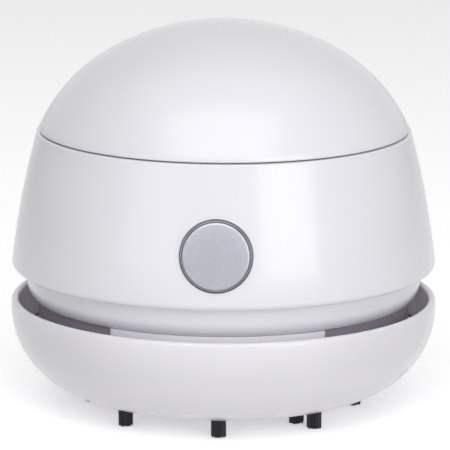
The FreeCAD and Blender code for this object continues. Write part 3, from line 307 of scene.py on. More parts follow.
def start_material(name):
    """An empty material, its tree and the object coordinates in metres."""
    material = bpy.data.materials.new(name)
    material.use_nodes = True
    tree = material.node_tree
    tree.nodes.clear()
    return material, tree, add_node(tree, "ShaderNodeTexCoord").outputs["Object"]


def finish_material(material, settings):
    """Close a material with its shader."""
    tree = material.node_tree
    shader = add_node(tree, "ShaderNodeBsdfPrincipled", settings)
    add_node(tree, "ShaderNodeOutputMaterial", {"Surface": shader.outputs[0]})
    return material


def noise(tree, place, size, detail=1.0):
    """Noise whose grains are about size millimetres wide."""
    settings = {"Scale": 1 / (size * MM), "Detail": detail, "Vector": place}
    return add_node(tree, "ShaderNodeTexNoise", settings).outputs["Fac"]


def wave(tree, place, along, profile):
    """Bands that repeat about once for each unit along an axis."""
    settings = {"wave_type": "BANDS", "bands_direction": along, "wave_profile": profile}
    settings.update({"Scale": WAVE_SCALE, "Vector": place})
    return add_node(tree, "ShaderNodeTexWave", settings).outputs["Fac"]


def stretch(tree, place, **settings):
    """Coordinates that are turned or scaled."""
    settings = {name.capitalize(): value for name, value in settings.items()}
    return add_node(tree, "ShaderNodeMapping", {"Vector": place, **settings}).outputs[0]


def blend(tree, first, second, factor):
    """A colour between two colours."""
    settings = {"data_type": "RGBA", 6: first, 7: second, 0: factor}
    return add_node(tree, "ShaderNodeMix", settings).outputs[2]


def vary(tree, value, low, high):
    """A number from low to high, as noise goes over its usual range."""
    settings = {"From Min": 0.3, "From Max": 0.7, "To Min": low, "To Max": high, "Value": value}
    return add_node(tree, "ShaderNodeMapRange", settings).outputs["Result"]


def relief(tree, height, depth, strength=1.0):
    """A normal for a relief that is depth millimetres deep."""
    settings = {"Strength": strength, "Distance": depth * MM, "Height": height}
    return add_node(tree, "ShaderNodeBump", settings).outputs["Normal"]


def compute(tree, operation, *values):
    """A math node on numbers or other nodes' outputs."""
    settings = {"operation": operation, **dict(enumerate(values))}
    return add_node(tree, "ShaderNodeMath", settings).outputs[0]


def shade(colour, factor):
    """The same colour, lighter or darker."""
    return tuple(min(1.0, c * factor) for c in colour[:3]) + (1.0,)


def grained(name, colour, roughness, grain, height, drift=0.97, metallic=0.0, **settings):
    """A surface with a slow drift of colour and a fine grain, whose width and height are in millimetres."""
    material, tree, place = start_material(name)
    # slow drift over about 30 mm, as in any moulded or rolled surface
    slow, fine = noise(tree, place, 30), noise(tree, place, grain)
    shader = {
        "Metallic": metallic,
        "Base Color": blend(tree, colour, shade(colour, drift), slow),
        "Roughness": vary(tree, fine, roughness * 0.94, roughness * 1.06),
        "Normal": relief(tree, fine, height),
    }
    return finish_material(material, {**shader, **settings})


def gloss_abs(name, colour, through=0.0):
    """Gloss white ABS, injection moulded in a polished tool: soft wide highlights, the faintest ripple."""
    # a thin wall lets a little light through, warmer than the surface
    scatter = {
        "IOR": ABS_IOR,
        "Subsurface Weight": through,
        "Subsurface Radius": (1.0, 0.9, 0.97),
        "Subsurface Scale": 4.0 * MM,
    }
    return grained(name, colour, 0.2, 9.0, 0.006, drift=0.985, **scatter)


def satin_abs(name, colour):
    """Satin ABS from a spark-eroded tool: an even fine grain and no clear reflections."""
    # the tool's grain is about 0.2 mm, drawn at 0.8 mm so that it shows
    return grained(name, colour, 0.5, 0.8, 0.012, IOR=ABS_IOR)


def bristle_nylon(colour):
    """Black nylon bristle: satin along its length, a little lighter where a bristle was drawn thin."""
    material, tree, place = start_material("Black Nylon Bristle")
    # bristles differ from one to the next, so the pattern is fine across and long along Z
    across, along = 1 / (0.3 * MM), 1 / (6 * MM)
    place = stretch(tree, place, scale=(across, across, along))
    streak = add_node(tree, "ShaderNodeTexNoise", {"Scale": 1.0, "Detail": 2.0, "Vector": place})
    streak = streak.outputs["Fac"]
    shader = {
        "IOR": NYLON_IOR,
        "Base Color": blend(tree, colour, linear("#1D1D20"), streak),
        "Roughness": vary(tree, streak, 0.42, 0.6),
    }
    return finish_material(material, shader)


def blasted_aluminium(colour):
    """Bead-blasted anodised aluminium: an even silver grey with fine grains, lighter in their middles as
    painted glints.
    """
    material, tree, place = start_material("Blasted Anodised Aluminium")
    # blasting grit of about 0.12 mm, drawn at 0.25 mm so that it shows
    grit = noise(tree, place, 0.25, 3.0)
    specks = add_node(tree, "ShaderNodeTexVoronoi", {"Scale": 1 / (0.42 * MM), "Vector": place})
    # painted glints: the middle of each grain is lighter, standing for sparkle
    painted_glint = {"From Min": 0.2, "From Max": 0.0, "To Min": 0.0, "To Max": 0.8}
    painted_glint["Value"] = specks.outputs["Distance"]
    bright = add_node(tree, "ShaderNodeMapRange", painted_glint).outputs["Result"]
    shader = {
        "Metallic": 0.85,
        "Base Color": blend(tree, colour, linear("#FFFFFF"), bright),
        "Roughness": vary(tree, grit, 0.3, 0.4),
        "Normal": relief(tree, grit, 0.02, 0.6),
    }
    return finish_material(material, shader)


def dark_chrome(colour):
    """Dark chrome plating on the thin ring: grey, with clear reflections."""
    return grained("Dark Chrome Plating", colour, 0.16, 1.5, 0.002, drift=0.9, metallic=0.9)


def zinc_steel(name, code):
    """Zinc-plated steel: cool grey, slightly cloudy, with fine rolling grain."""
    return grained(name, linear(code), 0.34, 0.3, 0.008, drift=0.86, metallic=1.0)


def nylon_mesh():
    """Woven nylon filter cloth: two sets of threads over and under each other."""
    material, tree, place = start_material("Woven Nylon Filter Cloth")
    # threads 0.15 mm apart, drawn at 0.6 mm so that the weave shows
    pitch = (1 / (0.6 * MM),) * 3
    sets = []
    for turn in (0.0, math.pi / 2):
        turned = stretch(tree, place, rotation=(0, 0, turn), scale=pitch)
        sets.append(wave(tree, turned, "X", "SIN"))
    threads = compute(tree, "MAXIMUM", *sets)
    shader = {
        "Roughness": 0.72,
        "IOR": NYLON_IOR,
        # light threads, with the gaps between them painted dark as shade through the open weave
        "Base Color": blend(tree, linear("#55555A"), linear("#D8D7D6"), threads),
        "Normal": relief(tree, threads, 0.08, 0.8),
    }
    return finish_material(material, shader)


def cell_sleeve(colour, band, positive):
    """Printed PVC sleeve shrunk over a steel can: bare at both ends, with a band at the positive end."""
    # from the middle of the cell to the band, to the positive end's bare shoulder and to the bare ends
    band_start, shoulder, end = 12.5 * MM, 23.9 * MM, 24.95 * MM
    side = "Right" if positive > 0 else "Left"
    material, tree, place = start_material("Printed Cell Sleeve " + side)
    across = add_node(tree, "ShaderNodeSeparateXYZ", {"Vector": place}).outputs["X"]
    along = compute(tree, "MULTIPLY", across, float(positive))
    in_band = compute(tree, "GREATER_THAN", along, band_start)
    past_shoulder = compute(tree, "GREATER_THAN", along, shoulder)
    past_end = compute(tree, "GREATER_THAN", compute(tree, "ABSOLUTE", across), end)
    bare = compute(tree, "MAXIMUM", past_shoulder, past_end)
    printed = blend(tree, colour, band, in_band)
    grime = noise(tree, place, 3, 4.0)
    shader = {
        "Coat Weight": 0.3,
        "Base Color": blend(tree, printed, linear("#C4C4C6"), bare),
        "Metallic": bare,
        "Roughness": vary(tree, grime, 0.24, 0.36),
    }
    return finish_material(material, shader)


def winding_copper():
    """Armature of laminated steel with enamelled copper: thin sheets show as lines round the core."""
    material, tree, place = start_material("Laminated Steel And Enamelled Copper")
    # sheets are 0.5 mm thick
    sheets = wave(tree, stretch(tree, place, scale=(1.0, 1.0, 1 / (0.5 * MM))), "Z", "SAW")
    shader = {
        "Metallic": 0.9,
        "Roughness": 0.38,
        "Base Color": blend(tree, linear("#7C6A5A"), linear("#A8694A"), sheets),
        "Normal": relief(tree, sheets, 0.05, 0.5),
    }
    return finish_material(material, shader)


def dress(material, *nodes):
    """Give CAD nodes a better material."""
    for node in nodes:
        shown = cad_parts[node]
        for slot in shown.material_slots:
            slot.material = material
        if not shown.material_slots:
            shown.data.materials.append(material)


# Meshes


class Section:
    """An outline in the plane y = 0, drawn by extruding a vertex for a line and spinning it for an arc."""

    def __init__(self, x, z):
        self.mesh = bmesh.new()
        self.first = self.mesh.verts.new((x, 0, z))
        self.tip = self.first

    def line(self, x, z):
        """Straight line to (x, z)."""
        made = bmesh.ops.extrude_vert_indiv(self.mesh, verts=[self.tip])
        self.tip = made["verts"][0]
        self.tip.co = (x, 0, z)
        return self

    def arc(self, x, z, radius, turn):
        """Arc that turns left (1) or right (-1) on its way to (x, z)."""
        end = Vector((x, 0, z))
        half = (end - self.tip.co) / 2
        # an arc can't be smaller than half its chord
        radius = max(radius, half.length * 1.0001)
        arm = math.sqrt(radius * radius - half.length_squared)
        left = Vector((-half.z, 0, half.x)).normalized()
        sweep = 2 * math.asin(half.length / radius)
        # wide arcs take finer steps than small roundings
        step = math.radians(2.5 if radius > 5 * MM else 15)
        made = bmesh.ops.spin(
            self.mesh,
            geom=[self.tip],
            cent=self.tip.co + half + left * (arm * turn),
            axis=(0, -1, 0),
            angle=sweep * turn,
            steps=max(2, math.ceil(sweep / step)),
            use_duplicate=False,
        )
        self.tip = [thing for thing in made["geom_last"] if isinstance(thing, bmesh.types.BMVert)][0]
        self.tip.co = end
        return self

    def close(self):
        """Straight line back to the start."""
        self.mesh.edges.new((self.tip, self.first))
        return self

    def round_corners(self, radius):
        """Round every corner of more than 40 degrees."""
        corners = []
        for vert in self.mesh.verts:
            if len(vert.link_edges) == 2:
                ways = [(edge.other_vert(vert).co - vert.co) for edge in vert.link_edges]
                if ways[0].angle(ways[1]) < math.radians(140):
                    corners.append(vert)
        bevel(self.mesh, corners, radius, "VERTICES", 3)
        return self

    def turn(self, steps):
        """Spin the outline once round the upright axis and hand over the mesh."""
        bmesh.ops.spin(
            self.mesh,
            geom=self.mesh.verts[:] + self.mesh.edges[:],
            cent=(0, 0, 0),
            axis=(0, 0, 1),
            angle=TAU,
            steps=steps,
            use_merge=True,
            use_duplicate=False,
        )
        # points on the axis are spun in place and become one
        bmesh.ops.remove_doubles(self.mesh, verts=self.mesh.verts, dist=0.0005 * MM)
        bmesh.ops.recalc_face_normals(self.mesh, faces=self.mesh.faces)
        return self.mesh


def join(target, extra):
    """Move another bmesh's geometry into the target."""
    carrier = mesh_of("carrier", extra)
    target.from_mesh(carrier)
    bpy.data.meshes.remove(carrier)


def bevel(mesh, geom, width, affect, segments):
    """Round edges or corners of a bmesh."""
    bmesh.ops.bevel(
        mesh, geom=geom, offset=width, affect=affect, segments=segments, profile=0.5, material=-1
    )


def cylinder(radius, depth, segments, matrix):
    """A closed cylinder round the matrix's Z axis."""
    mesh = bmesh.new()
    bmesh.ops.create_cone(
        mesh,
        cap_ends=True,
        segments=segments,
        radius1=radius,
        radius2=radius,
        depth=depth,
        matrix=matrix,
    )
    return mesh


def show(name, data):
    """Put an object with this mesh, lamp or camera into the scene."""
    shown = bpy.data.objects.new(name, data)
    bpy.context.scene.collection.objects.link(shown)
    return shown


def mesh_of(name, source):
    """Turn a bmesh into a mesh."""
    data = bpy.data.meshes.new(name)
    source.to_mesh(data)
    source.free()
    return data


def smooth(data):
    """Shade a mesh smooth, apart from its sharp edges."""
    data.shade_smooth()
    data.set_sharp_from_angle(angle=SMOOTH_ANGLE)


def add_piece(name, mesh, body, material, slot, *nodes):
    """Make a named piece of a bmesh that rides on a body and stands for the CAD nodes, if any."""
    data = mesh_of(name, mesh)
    smooth(data)
    data.materials.append(material)
    piece = show(name, data)
    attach(piece, body)
    if nodes:
        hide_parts(*nodes)
    return piece


def cut(piece, cutter):
    """Take a bmesh away from a piece for good."""
    data = mesh_of("cutter", cutter)
    tool = show("cutter", data)
    modifier = piece.modifiers.new("cut", "BOOLEAN")
    modifier.operation = "DIFFERENCE"
    modifier.solver = "EXACT"
    modifier.object = tool
    done = bpy.data.meshes.new_from_object(piece.evaluated_get(bpy.context.evaluated_depsgraph_get()))
    piece.modifiers.clear()
    old = piece.data
    piece.data = done
    bpy.data.meshes.remove(old)
    bpy.data.objects.remove(tool)
    bpy.data.meshes.remove(data)
    done.name = piece.name
    smooth(done)


def bowl_arcs(s):
    """Radius of the side arc, its centre's radius, and radius of the lower arc of the bowl."""
    cos, sin = math.cos(s.bowl_turn), math.sin(s.bowl_turn)
    depth = s.bowl_widest - s.bowl_bottom
    spread = s.bowl_radius - s.bowl_flat
    side = (depth * cos - spread * (1 - sin)) / (cos + sin - 1)
    lower = (spread * sin - depth * (1 - cos)) / (cos + sin - 1)
    return side, s.bowl_radius - side, lower


def bowl_lower(s, radius):
    """Height of the bowl's lower arc at a radius."""
    reach = bowl_arcs(s)[2]
    return s.bowl_bottom + reach - math.sqrt(reach * reach - (radius - s.bowl_flat) ** 2)


def cover_side(s, height, inset=0.0):
    """Radius of the cover's shoulder arc at a height."""
    gap = s.crown - s.cover_shoulder
    centre = s.cover_top - s.crown + gap * math.cos(s.crown_angle)
    reach = s.cover_shoulder - inset
    return gap * math.sin(s.crown_angle) + math.sqrt(reach * reach - (height - centre) ** 2)


def seam_radius(s):
    """Outside of the housing at the seam."""
    return cover_side(s, s.seam) + s.seam_inset


def button_place(s, b):
    """Matrix from the button's own frame, +Z out of the shell, to the object's frame."""
    low = s.shoulder + s.skirt_edge
    high = s.seam - s.rim_edge
    run, rise = seam_radius(s) - s.skirt_radius, high - low
    chord = math.hypot(run, rise)
    arm = math.sqrt(s.side_bulge**2 - chord**2 / 4)
    centre_out = (seam_radius(s) + s.skirt_radius) / 2 - arm * rise / chord
    centre_up = (low + high) / 2 + arm * run / chord
    level = s.shoulder + b.rise
    out = centre_out + math.sqrt(s.side_bulge**2 - (level - centre_up) ** 2)
    return Matrix.Translation((0, -out, level)) @ Matrix.Rotation(math.pi / 2 - b.tilt, 4, "X")


def direction(azimuth, elevation):
    """Unit vector from the object towards an azimuth, right of the front, and an elevation."""
    flat = math.cos(elevation)
    return Vector((math.sin(azimuth) * flat, -math.cos(azimuth) * flat, math.sin(elevation)))


class PieceOperator:
    """What the operators share: one undo step and the settings of the scene."""

    bl_options = {"REGISTER", "UNDO"}

    def settings(self, context):
        return context.scene.desk_vacuum


class DESKVAC_OT_dome_cover(PieceOperator, bpy.types.Operator):
    """Model the dome cover as one spun shell"""

    bl_idname = "desk_vacuum.dome_cover"
    bl_label = "Dome Cover"

    def execute(self, context):
        every = self.settings(context)
        s = every.shells
        wall, rim = s.cover_wall, s.seam + s.seam_gap
        crown_centre = s.cover_top - s.crown
        cos, sin = math.cos(s.crown_angle), math.sin(s.crown_angle)
        section = Section(0, s.cover_top - wall)
        section.arc((s.crown - wall) * sin, crown_centre + (s.crown - wall) * cos, s.crown - wall, -1)
        section.arc(cover_side(s, rim, wall), rim, s.cover_shoulder - wall, -1)
        section.line(cover_side(s, rim) - s.rim_edge, rim)
        section.arc(cover_side(s, rim + s.rim_edge), rim + s.rim_edge, s.rim_edge + EASE, 1)
        section.arc(s.crown * sin, crown_centre + s.crown * cos, s.cover_shoulder, 1)
        section.arc(0, s.cover_top, s.crown, 1)
        section.round_corners(s.corner)
        material = gloss_abs("Gloss White ABS Cover", every.colours.shell)
        add_piece("dome_cover_shell", section.turn(s.steps), "cover", material, "white_shell", "dome_cover")
        return {"FINISHED"}


class DESKVAC_OT_main_housing(PieceOperator, bpy.types.Operator):
    """Model the main housing as one spun shell with the hole for the button"""

    bl_idname = "desk_vacuum.main_housing"
    bl_label = "Main Housing"

    def execute(self, context):
        every = self.settings(context)
        s, b = every.shells, every.button
        wall = s.housing_wall
        low = s.shoulder + s.skirt_edge
        inset = s.band_radius - s.lip_radius
        lip_arc = (inset * inset + s.lip_height * s.lip_height) / (2 * inset)
        section = Section(s.lip_radius, s.lip_bottom)
        section.arc(s.band_radius, s.lip_bottom + s.lip_height, lip_arc, 1)
        section.line(s.band_radius, s.shoulder).line(s.skirt_radius - s.skirt_edge, s.shoulder)
        section.arc(s.skirt_radius, low, s.skirt_edge * 1.02, 1)
        section.arc(seam_radius(s), s.seam - s.rim_edge, s.side_bulge, 1)
        section.arc(seam_radius(s) - s.rim_edge, s.seam, s.rim_edge + EASE, 1)
        section.line(seam_radius(s) - wall, s.seam)
        section.arc(s.skirt_radius - wall, low + wall / 2, s.side_bulge, -1)
        section.line(s.band_radius - wall, s.shoulder + wall / 2)
        section.line(s.band_radius - wall, s.lip_bottom + s.lip_height)
        section.line(s.lip_inner, s.lip_bottom + s.lip_height / 2)
        section.line(s.lip_inner, s.lip_bottom + s.lip_edge)
        section.line(s.lip_inner + s.lip_edge, s.lip_bottom)
        mesh = section.close().round_corners(s.fine_corner).turn(s.steps)
        material = gloss_abs("Gloss White ABS Housing", every.colours.shell)
        shell = add_piece("main_housing_shell", mesh, "housing", material, "white_shell", "main_housing")
        cut(shell, cylinder(b.ring_outer + b.clearance, b.bore, b.steps, button_place(s, b)))
        return {"FINISHED"}


class DESKVAC_OT_vent_ring(PieceOperator, bpy.types.Operator):
    """Model the neck: a deck, a top flange, and panels and posts between the exhaust windows"""

    bl_idname = "desk_vacuum.vent_ring"
    bl_label = "Vent Ring"

    def execute(self, context):
        every = self.settings(context)
        s, n = every.shells, every.neck
        outer, inner = n.radius, n.radius - n.wall
        flange_low, flange_top = s.ledge + n.flange_low, s.ledge + n.flange_top
        sill, lintel = flange_top + n.sill, flange_top + n.lintel
        deck = Section(inner, s.ledge - n.deck_low)
        deck.line(outer, s.ledge - n.deck_low).line(outer, flange_low)
        deck.line(outer + n.flange_reach, flange_low).line(outer + n.flange_reach, flange_top)
        deck.line(outer, flange_top).line(outer, sill).line(inner, sill).line(inner, flange_top)
        deck.line(n.duct_hole, flange_top).line(n.duct_hole, flange_low).line(inner, flange_low)
        mesh = deck.close().round_corners(s.corner).turn(s.steps)
        top_low, top_high, top_inner = lintel + n.top_low, lintel + n.top_high, outer - n.top_reach
        top = Section(outer, lintel)
        top.line(outer, top_high).line(top_inner, top_high).line(top_inner, top_low)
        top.line(inner, top_low).line(inner, lintel)
        join(mesh, top.close().round_corners(s.corner).turn(s.steps))
        # posts at the sides, panels at the back and the front
        walls = ((n.side_post, outer - n.sink), (n.front_panel, n.panel_radius))
        for quarter in range(4):
            half, reach = walls[quarter % 2]
            span = (inner + n.sink, reach, flange_top - n.sink, s.lip_bottom - n.panel_gap)
            join(mesh, self.panel(every, quarter * math.pi / 2, half, span))
        # the neck's lighter white is painted light for the neck in shade under the housing
        material = satin_abs("Satin White ABS Neck", every.colours.neck)
        add_piece("vent_ring_neck", mesh, "housing", material, "white_neck", "vent_ring")
        self.screen(every, flange_top)
        return {"FINISHED"}

    def screen(self, every, flange_top):
        """The screen, a sleeve round the neck over the windows: its mauve grey is painted shade for the
        shaded insides behind them.
        """
        s, n = every.shells, every.neck
        near, far = n.radius + n.screen_gap, n.radius + n.screen_depth
        low, high = flange_top + n.screen_low, s.lip_bottom - n.screen_top
        sleeve = Section(near, low).line(far, low).line(far, high).line(near, high)
        mesh = sleeve.close().round_corners(n.screen_corner).turn(s.steps)
        # painted shade: a mauve sleeve for the shaded insides behind the windows, with threads 0.1 mm apart
        # drawn as a grain of 0.5 mm so that they show
        cloth = grained("Painted Shade Screen", every.colours.screen, 0.7, 0.5, 0.02, drift=0.94)
        add_piece("vent_shade_screen", mesh, "housing", cloth, "filter_cloth")

    def panel(self, every, middle, half, span):
        """A curved wall between two windows, with rounded upright edges."""
        inner, outer, low, high = span
        mesh = bmesh.new()
        made = bmesh.ops.create_grid(mesh, x_segments=1, y_segments=1, size=0.5)
        bmesh.ops.scale(mesh, verts=made["verts"], vec=(outer - inner, high - low, 1))
        bmesh.ops.rotate(mesh, verts=made["verts"], matrix=Matrix.Rotation(math.pi / 2, 3, "X"))
        bmesh.ops.translate(mesh, verts=made["verts"], vec=((inner + outer) / 2, 0, (low + high) / 2))
        bmesh.ops.rotate(
            mesh,
            verts=made["verts"],
            cent=(0, 0, 0),
            matrix=Matrix.Rotation(middle - half, 3, "Z"),
        )
        steps = max(3, round(2 * half / TAU * every.shells.steps))
        bmesh.ops.spin(
            mesh,
            geom=mesh.faces[:],
            cent=(0, 0, 0),
            axis=(0, 0, 1),
            angle=2 * half,
            steps=steps,
            use_duplicate=False,
        )
        bmesh.ops.recalc_face_normals(mesh, faces=mesh.faces)
        upright = [
            edge
            for edge in mesh.edges
            if abs(edge.verts[0].co.z - edge.verts[1].co.z) > (high - low) * 0.9
            and edge.calc_face_angle(0) > math.radians(60)
        ]
        bevel(mesh, upright, every.neck.panel_edge, "EDGES", 5)
        return mesh


class DESKVAC_OT_dust_bowl(PieceOperator, bpy.types.Operator):
    """Model the dust bowl as one spun shell with its tuft sockets"""

    bl_idname = "desk_vacuum.dust_bowl"
    bl_label = "Dust Bowl"

    def execute(self, context):
        every = self.settings(context)
        s, t = every.shells, every.bristles
        wall = s.bowl_wall
        side, centre, lower = bowl_arcs(s)
        cos, sin = math.cos(s.bowl_turn), math.sin(s.bowl_turn)

        def side_radius(height, inset=0.0):
            return centre + math.sqrt((side - inset) ** 2 - (height - s.bowl_widest) ** 2)

        bead = s.bowl_rim - wall / 2
        ledge_in = side_radius(s.ledge, wall) - s.ledge_width
        ledge_foot = s.bowl_widest - math.sqrt((side - wall) ** 2 - (ledge_in - centre) ** 2)
        section = Section(s.bowl_hole, s.bowl_bottom)
        section.line(s.bowl_flat, s.bowl_bottom)
        section.arc(centre + side * cos, s.bowl_widest - side * sin, lower, 1)
        section.arc(s.bowl_radius, s.bowl_widest, side, 1)
        section.arc(side_radius(bead), bead, side, 1)
        section.arc(side_radius(bead, wall), bead, wall / 2, 1)
        section.arc(side_radius(s.ledge, wall), s.ledge, side - wall, -1)
        section.line(ledge_in, s.ledge).line(ledge_in, ledge_foot)
        section.arc(centre + (side - wall) * cos, s.bowl_widest - (side - wall) * sin, side - wall, -1)
        section.arc(s.bowl_flat, s.bowl_bottom + wall, lower - wall, -1)
        section.line(s.bowl_hole, s.bowl_bottom + wall)
        mesh = section.close().round_corners(s.corner).turn(s.steps)
        socket = t.tuft_radius + t.socket_wall
        for x, y, circle in tuft_places(t):
            mouth = bowl_lower(s, circle + t.tuft_radius + t.socket_play)
            low, high = mouth + t.socket_low, mouth + t.socket_top
            middle = (low + high) / 2
            cup = cylinder(socket, high - low, t.socket_steps, Matrix.Translation((x, y, middle)))
            rims = [edge for edge in cup.edges if all(vert.co.z > middle for vert in edge.verts)]
            bevel(cup, rims, t.socket_edge, "EDGES", 3)
            join(mesh, cup)
        material = gloss_abs("Gloss White ABS Bowl", every.colours.bowl, through=0.8)
        add_piece("dust_bowl_shell", mesh, "bowl", material, "white_bowl", "dust_bowl")
        return {"FINISHED"}


def tuft_places(t):
    """Where each tuft stands, with the radius of its ring."""
    places = []
    # each ring: radius, number of tufts, and degrees from +X to its first tuft
    for circle, number, first in (
        (t.outer_circle, t.outer_count, -90),
        (t.inner_circle, t.inner_count, -45),
    ):
        for index in range(number):
            turn = math.radians(first) + TAU * index / number
            places.append((circle * math.cos(turn), circle * math.sin(turn), circle))
    return places


class DESKVAC_OT_bristles(PieceOperator, bpy.types.Operator):
    """Model the tufts as bundles of single bristles with ragged cut ends"""

    bl_idname = "desk_vacuum.bristles"
    bl_label = "Bristles"

    def execute(self, context):
        every = self.settings(context)
        s, t = every.shells, every.bristles
        material = bristle_nylon(every.colours.bristle)
        # a fixed seed, so that every run gives the same bristles
        chance = random.Random(7)
        for label, wanted in (("outer_bristles", t.outer_circle), ("inner_bristles", t.inner_circle)):
            mesh = bmesh.new()
            for x, y, circle in tuft_places(t):
                if circle == wanted:
                    top = bowl_lower(s, circle + t.tuft_radius) + t.sunk
                    join(mesh, self.tuft(t, chance, Vector((x, y, 0)), top))
            add_piece(label + "_strands", mesh, "bowl", material, "black_bristle", label)
        return {"FINISHED"}

    def tuft(self, t, chance, place, top):
        """One bundle: bristles on a triangular pattern inside a circle, each a thin five-sided rod."""
        mesh = bmesh.new()
        rows = math.ceil(t.tuft_radius / t.spacing) + 1
        room = t.tuft_radius - t.bristle_radius
        # in a triangular pattern the rows are this far apart
        row_gap = t.spacing * 0.866

        def stray(reach):
            return Vector((chance.uniform(-1, 1), chance.uniform(-1, 1), 0)) * reach

        turn = Matrix.Rotation(chance.uniform(0, TAU), 3, "Z")
        for row in range(-rows, rows + 1):
            for column in range(-rows, rows + 1):
                spot = Vector(((column + row % 2 / 2) * t.spacing, row * row_gap, 0))
                spot += stray(t.spacing * t.scatter)
                if spot.length > room:
                    continue
                spot = turn @ spot
                lean = stray(t.lean)
                # a bristle that would lean out of the tuft stands straight
                if (spot + lean).length > room:
                    lean = lean * 0
                # most bristles are nearly as long as the longest
                cut_at = chance.uniform(0, 1) ** 2 * t.ragged
                foot = place + spot + lean + Vector((0, 0, cut_at))
                ring = bmesh.ops.create_circle(
                    mesh,
                    cap_ends=True,
                    segments=5,
                    radius=t.bristle_radius,
                    matrix=Matrix.Translation(foot),
                )["verts"]
                made = bmesh.ops.extrude_face_region(mesh, geom=list(ring[0].link_faces))["geom"]
                ends = [thing for thing in made if isinstance(thing, bmesh.types.BMVert)]
                bmesh.ops.translate(mesh, verts=ends, vec=Vector((0, 0, top - cut_at)) - lean)
        bmesh.ops.recalc_face_normals(mesh, faces=mesh.faces)
        return mesh


class DESKVAC_OT_push_button(PieceOperator, bpy.types.Operator):
    """Model the push button and the thin ring round it"""

    bl_idname = "desk_vacuum.push_button"
    bl_label = "Push Button"

    def execute(self, context):
        every = self.settings(context)
        b = every.button
        place = button_place(every.shells, b)
        rim, under = b.proud - b.depth, b.proud - b.face
        cap = Section(0, -b.stem_reach)
        cap.line(b.stem_radius, -b.stem_reach).line(b.stem_radius, under).line(b.radius - b.wall, under)
        cap.line(b.radius - b.wall, rim).line(b.radius, rim).line(b.radius, b.proud - b.edge)
        cap.arc(b.radius - b.edge, b.proud - b.crown, b.edge * 1.05, 1)
        flat = b.radius - b.edge
        cap.arc(0, b.proud, (flat * flat + b.crown * b.crown) / (2 * b.crown), 1)
        mesh = cap.round_corners(b.corner).turn(b.steps)
        mesh.transform(place)
        material = blasted_aluminium(every.colours.button)
        add_piece("button_cap_face", mesh, "button", material, "button_metal", "button_cap")
        self.ring(every, place)
        return {"FINISHED"}

    def ring(self, every, place):
        """The ring with its groove, its guide tube and the collar behind the shell."""
        b = every.button
        floor_top = b.ring_floor - b.ring_depth
        collar_low = -b.collar_depth - b.collar
        half = (b.ring_face - b.ring_inner) / 2
        stem = b.stem_radius + b.stem_clearance
        ring = Section(stem, -b.ring_depth)
        ring.line(b.ring_outer, -b.ring_depth).line(b.ring_outer, collar_low)
        ring.line(b.ring_outer + b.collar, collar_low).line(b.ring_outer + b.collar, -b.collar_depth)
        ring.line(b.ring_outer, -b.collar_depth).line(b.ring_outer, -b.groove)
        ring.line(b.ring_face, -b.groove).line(b.ring_face, b.ring_proud - half)
        ring.arc(b.ring_inner, b.ring_proud - half, half, 1)
        ring.line(b.ring_inner, floor_top).line(stem, floor_top)
        mesh = ring.close().round_corners(b.ring_corner).turn(b.steps)
        mesh.transform(place)
        chrome = dark_chrome(every.colours.ring)
        add_piece("button_ring", mesh, "housing", chrome, "bezel_dark", "button_bezel")


class DESKVAC_OT_air_path(PieceOperator, bpy.types.Operator):
    """Finish the duct, filter, seal and fan wheel"""

    bl_idname = "desk_vacuum.air_path"
    bl_label = "Air Path"

    def execute(self, context):
        colours = self.settings(context).colours
        grey = satin_abs("Satin Grey ABS Duct", colours.inside)
        dress(grey, "intake_duct", "filter_frame", "motor_plate")
        dress(nylon_mesh(), "filter_mesh")
        # moulded silicone rubber: dull and even, with a faint bloom
        rubber = grained("Moulded Silicone Rubber", linear("#2A2A2E"), 0.66, 0.5, 0.01, drift=0.85)
        dress(rubber, "seal_ring")
        # glass-filled nylon, a coarse satin from the fibres; its mauve grey is painted shade, standing for
        # the shaded insides behind the exhaust windows
        fan = grained("Glass-Filled Nylon Fan", linear("#978C99"), 0.46, 0.5, 0.02, drift=0.92)
        dress(fan, "impeller")
        return {"FINISHED"}


class DESKVAC_OT_motor_and_switch(PieceOperator, bpy.types.Operator):
    """Finish the motor, the switch and the screws"""

    bl_idname = "desk_vacuum.motor_and_switch"
    bl_label = "Motor and Switch"

    def execute(self, context):
        colours = self.settings(context).colours
        dress(zinc_steel("Zinc-Plated Steel Can", "#A9ABAD"), "motor_can")
        dress(
            zinc_steel("Zinc-Plated Steel Screw", "#B7B9BC"),
            "housing_screws",
            "tray_screws",
            "motor_screws",
            "switch_screws",
        )
        # ground steel: bright and nearly smooth
        ground = grained("Ground Steel", linear("#C2C3C5"), 0.2, 0.2, 0.003, 0.95, 1.0)
        dress(ground, "motor_shaft", "button_spring")
        # sintered bronze: warm, dull and porous
        bronze = grained("Sintered Bronze", linear("#A9814C"), 0.5, 0.15, 0.02, 0.8, 1.0)
        dress(bronze, "motor_bushings")
        # sintered ferrite: charcoal, matt and slightly rough
        ferrite = grained("Sintered Ferrite", linear("#2C2C2F"), 0.6, 0.2, 0.02, 0.85)
        dress(ferrite, "motor_magnets")
        dress(winding_copper(), "motor_armature")
        # PBT: black, moulded, satin
        black = grained("Moulded Black PBT", linear("#17171A"), 0.44, 0.4, 0.01, 0.8)
        dress(black, "motor_cap", "switch_body")
        dress(satin_abs("Satin Grey ABS Bracket", colours.inside), "switch_bracket")
        dress(satin_abs("Satin White ABS Stem", colours.tray), "switch_plunger")
        return {"FINISHED"}


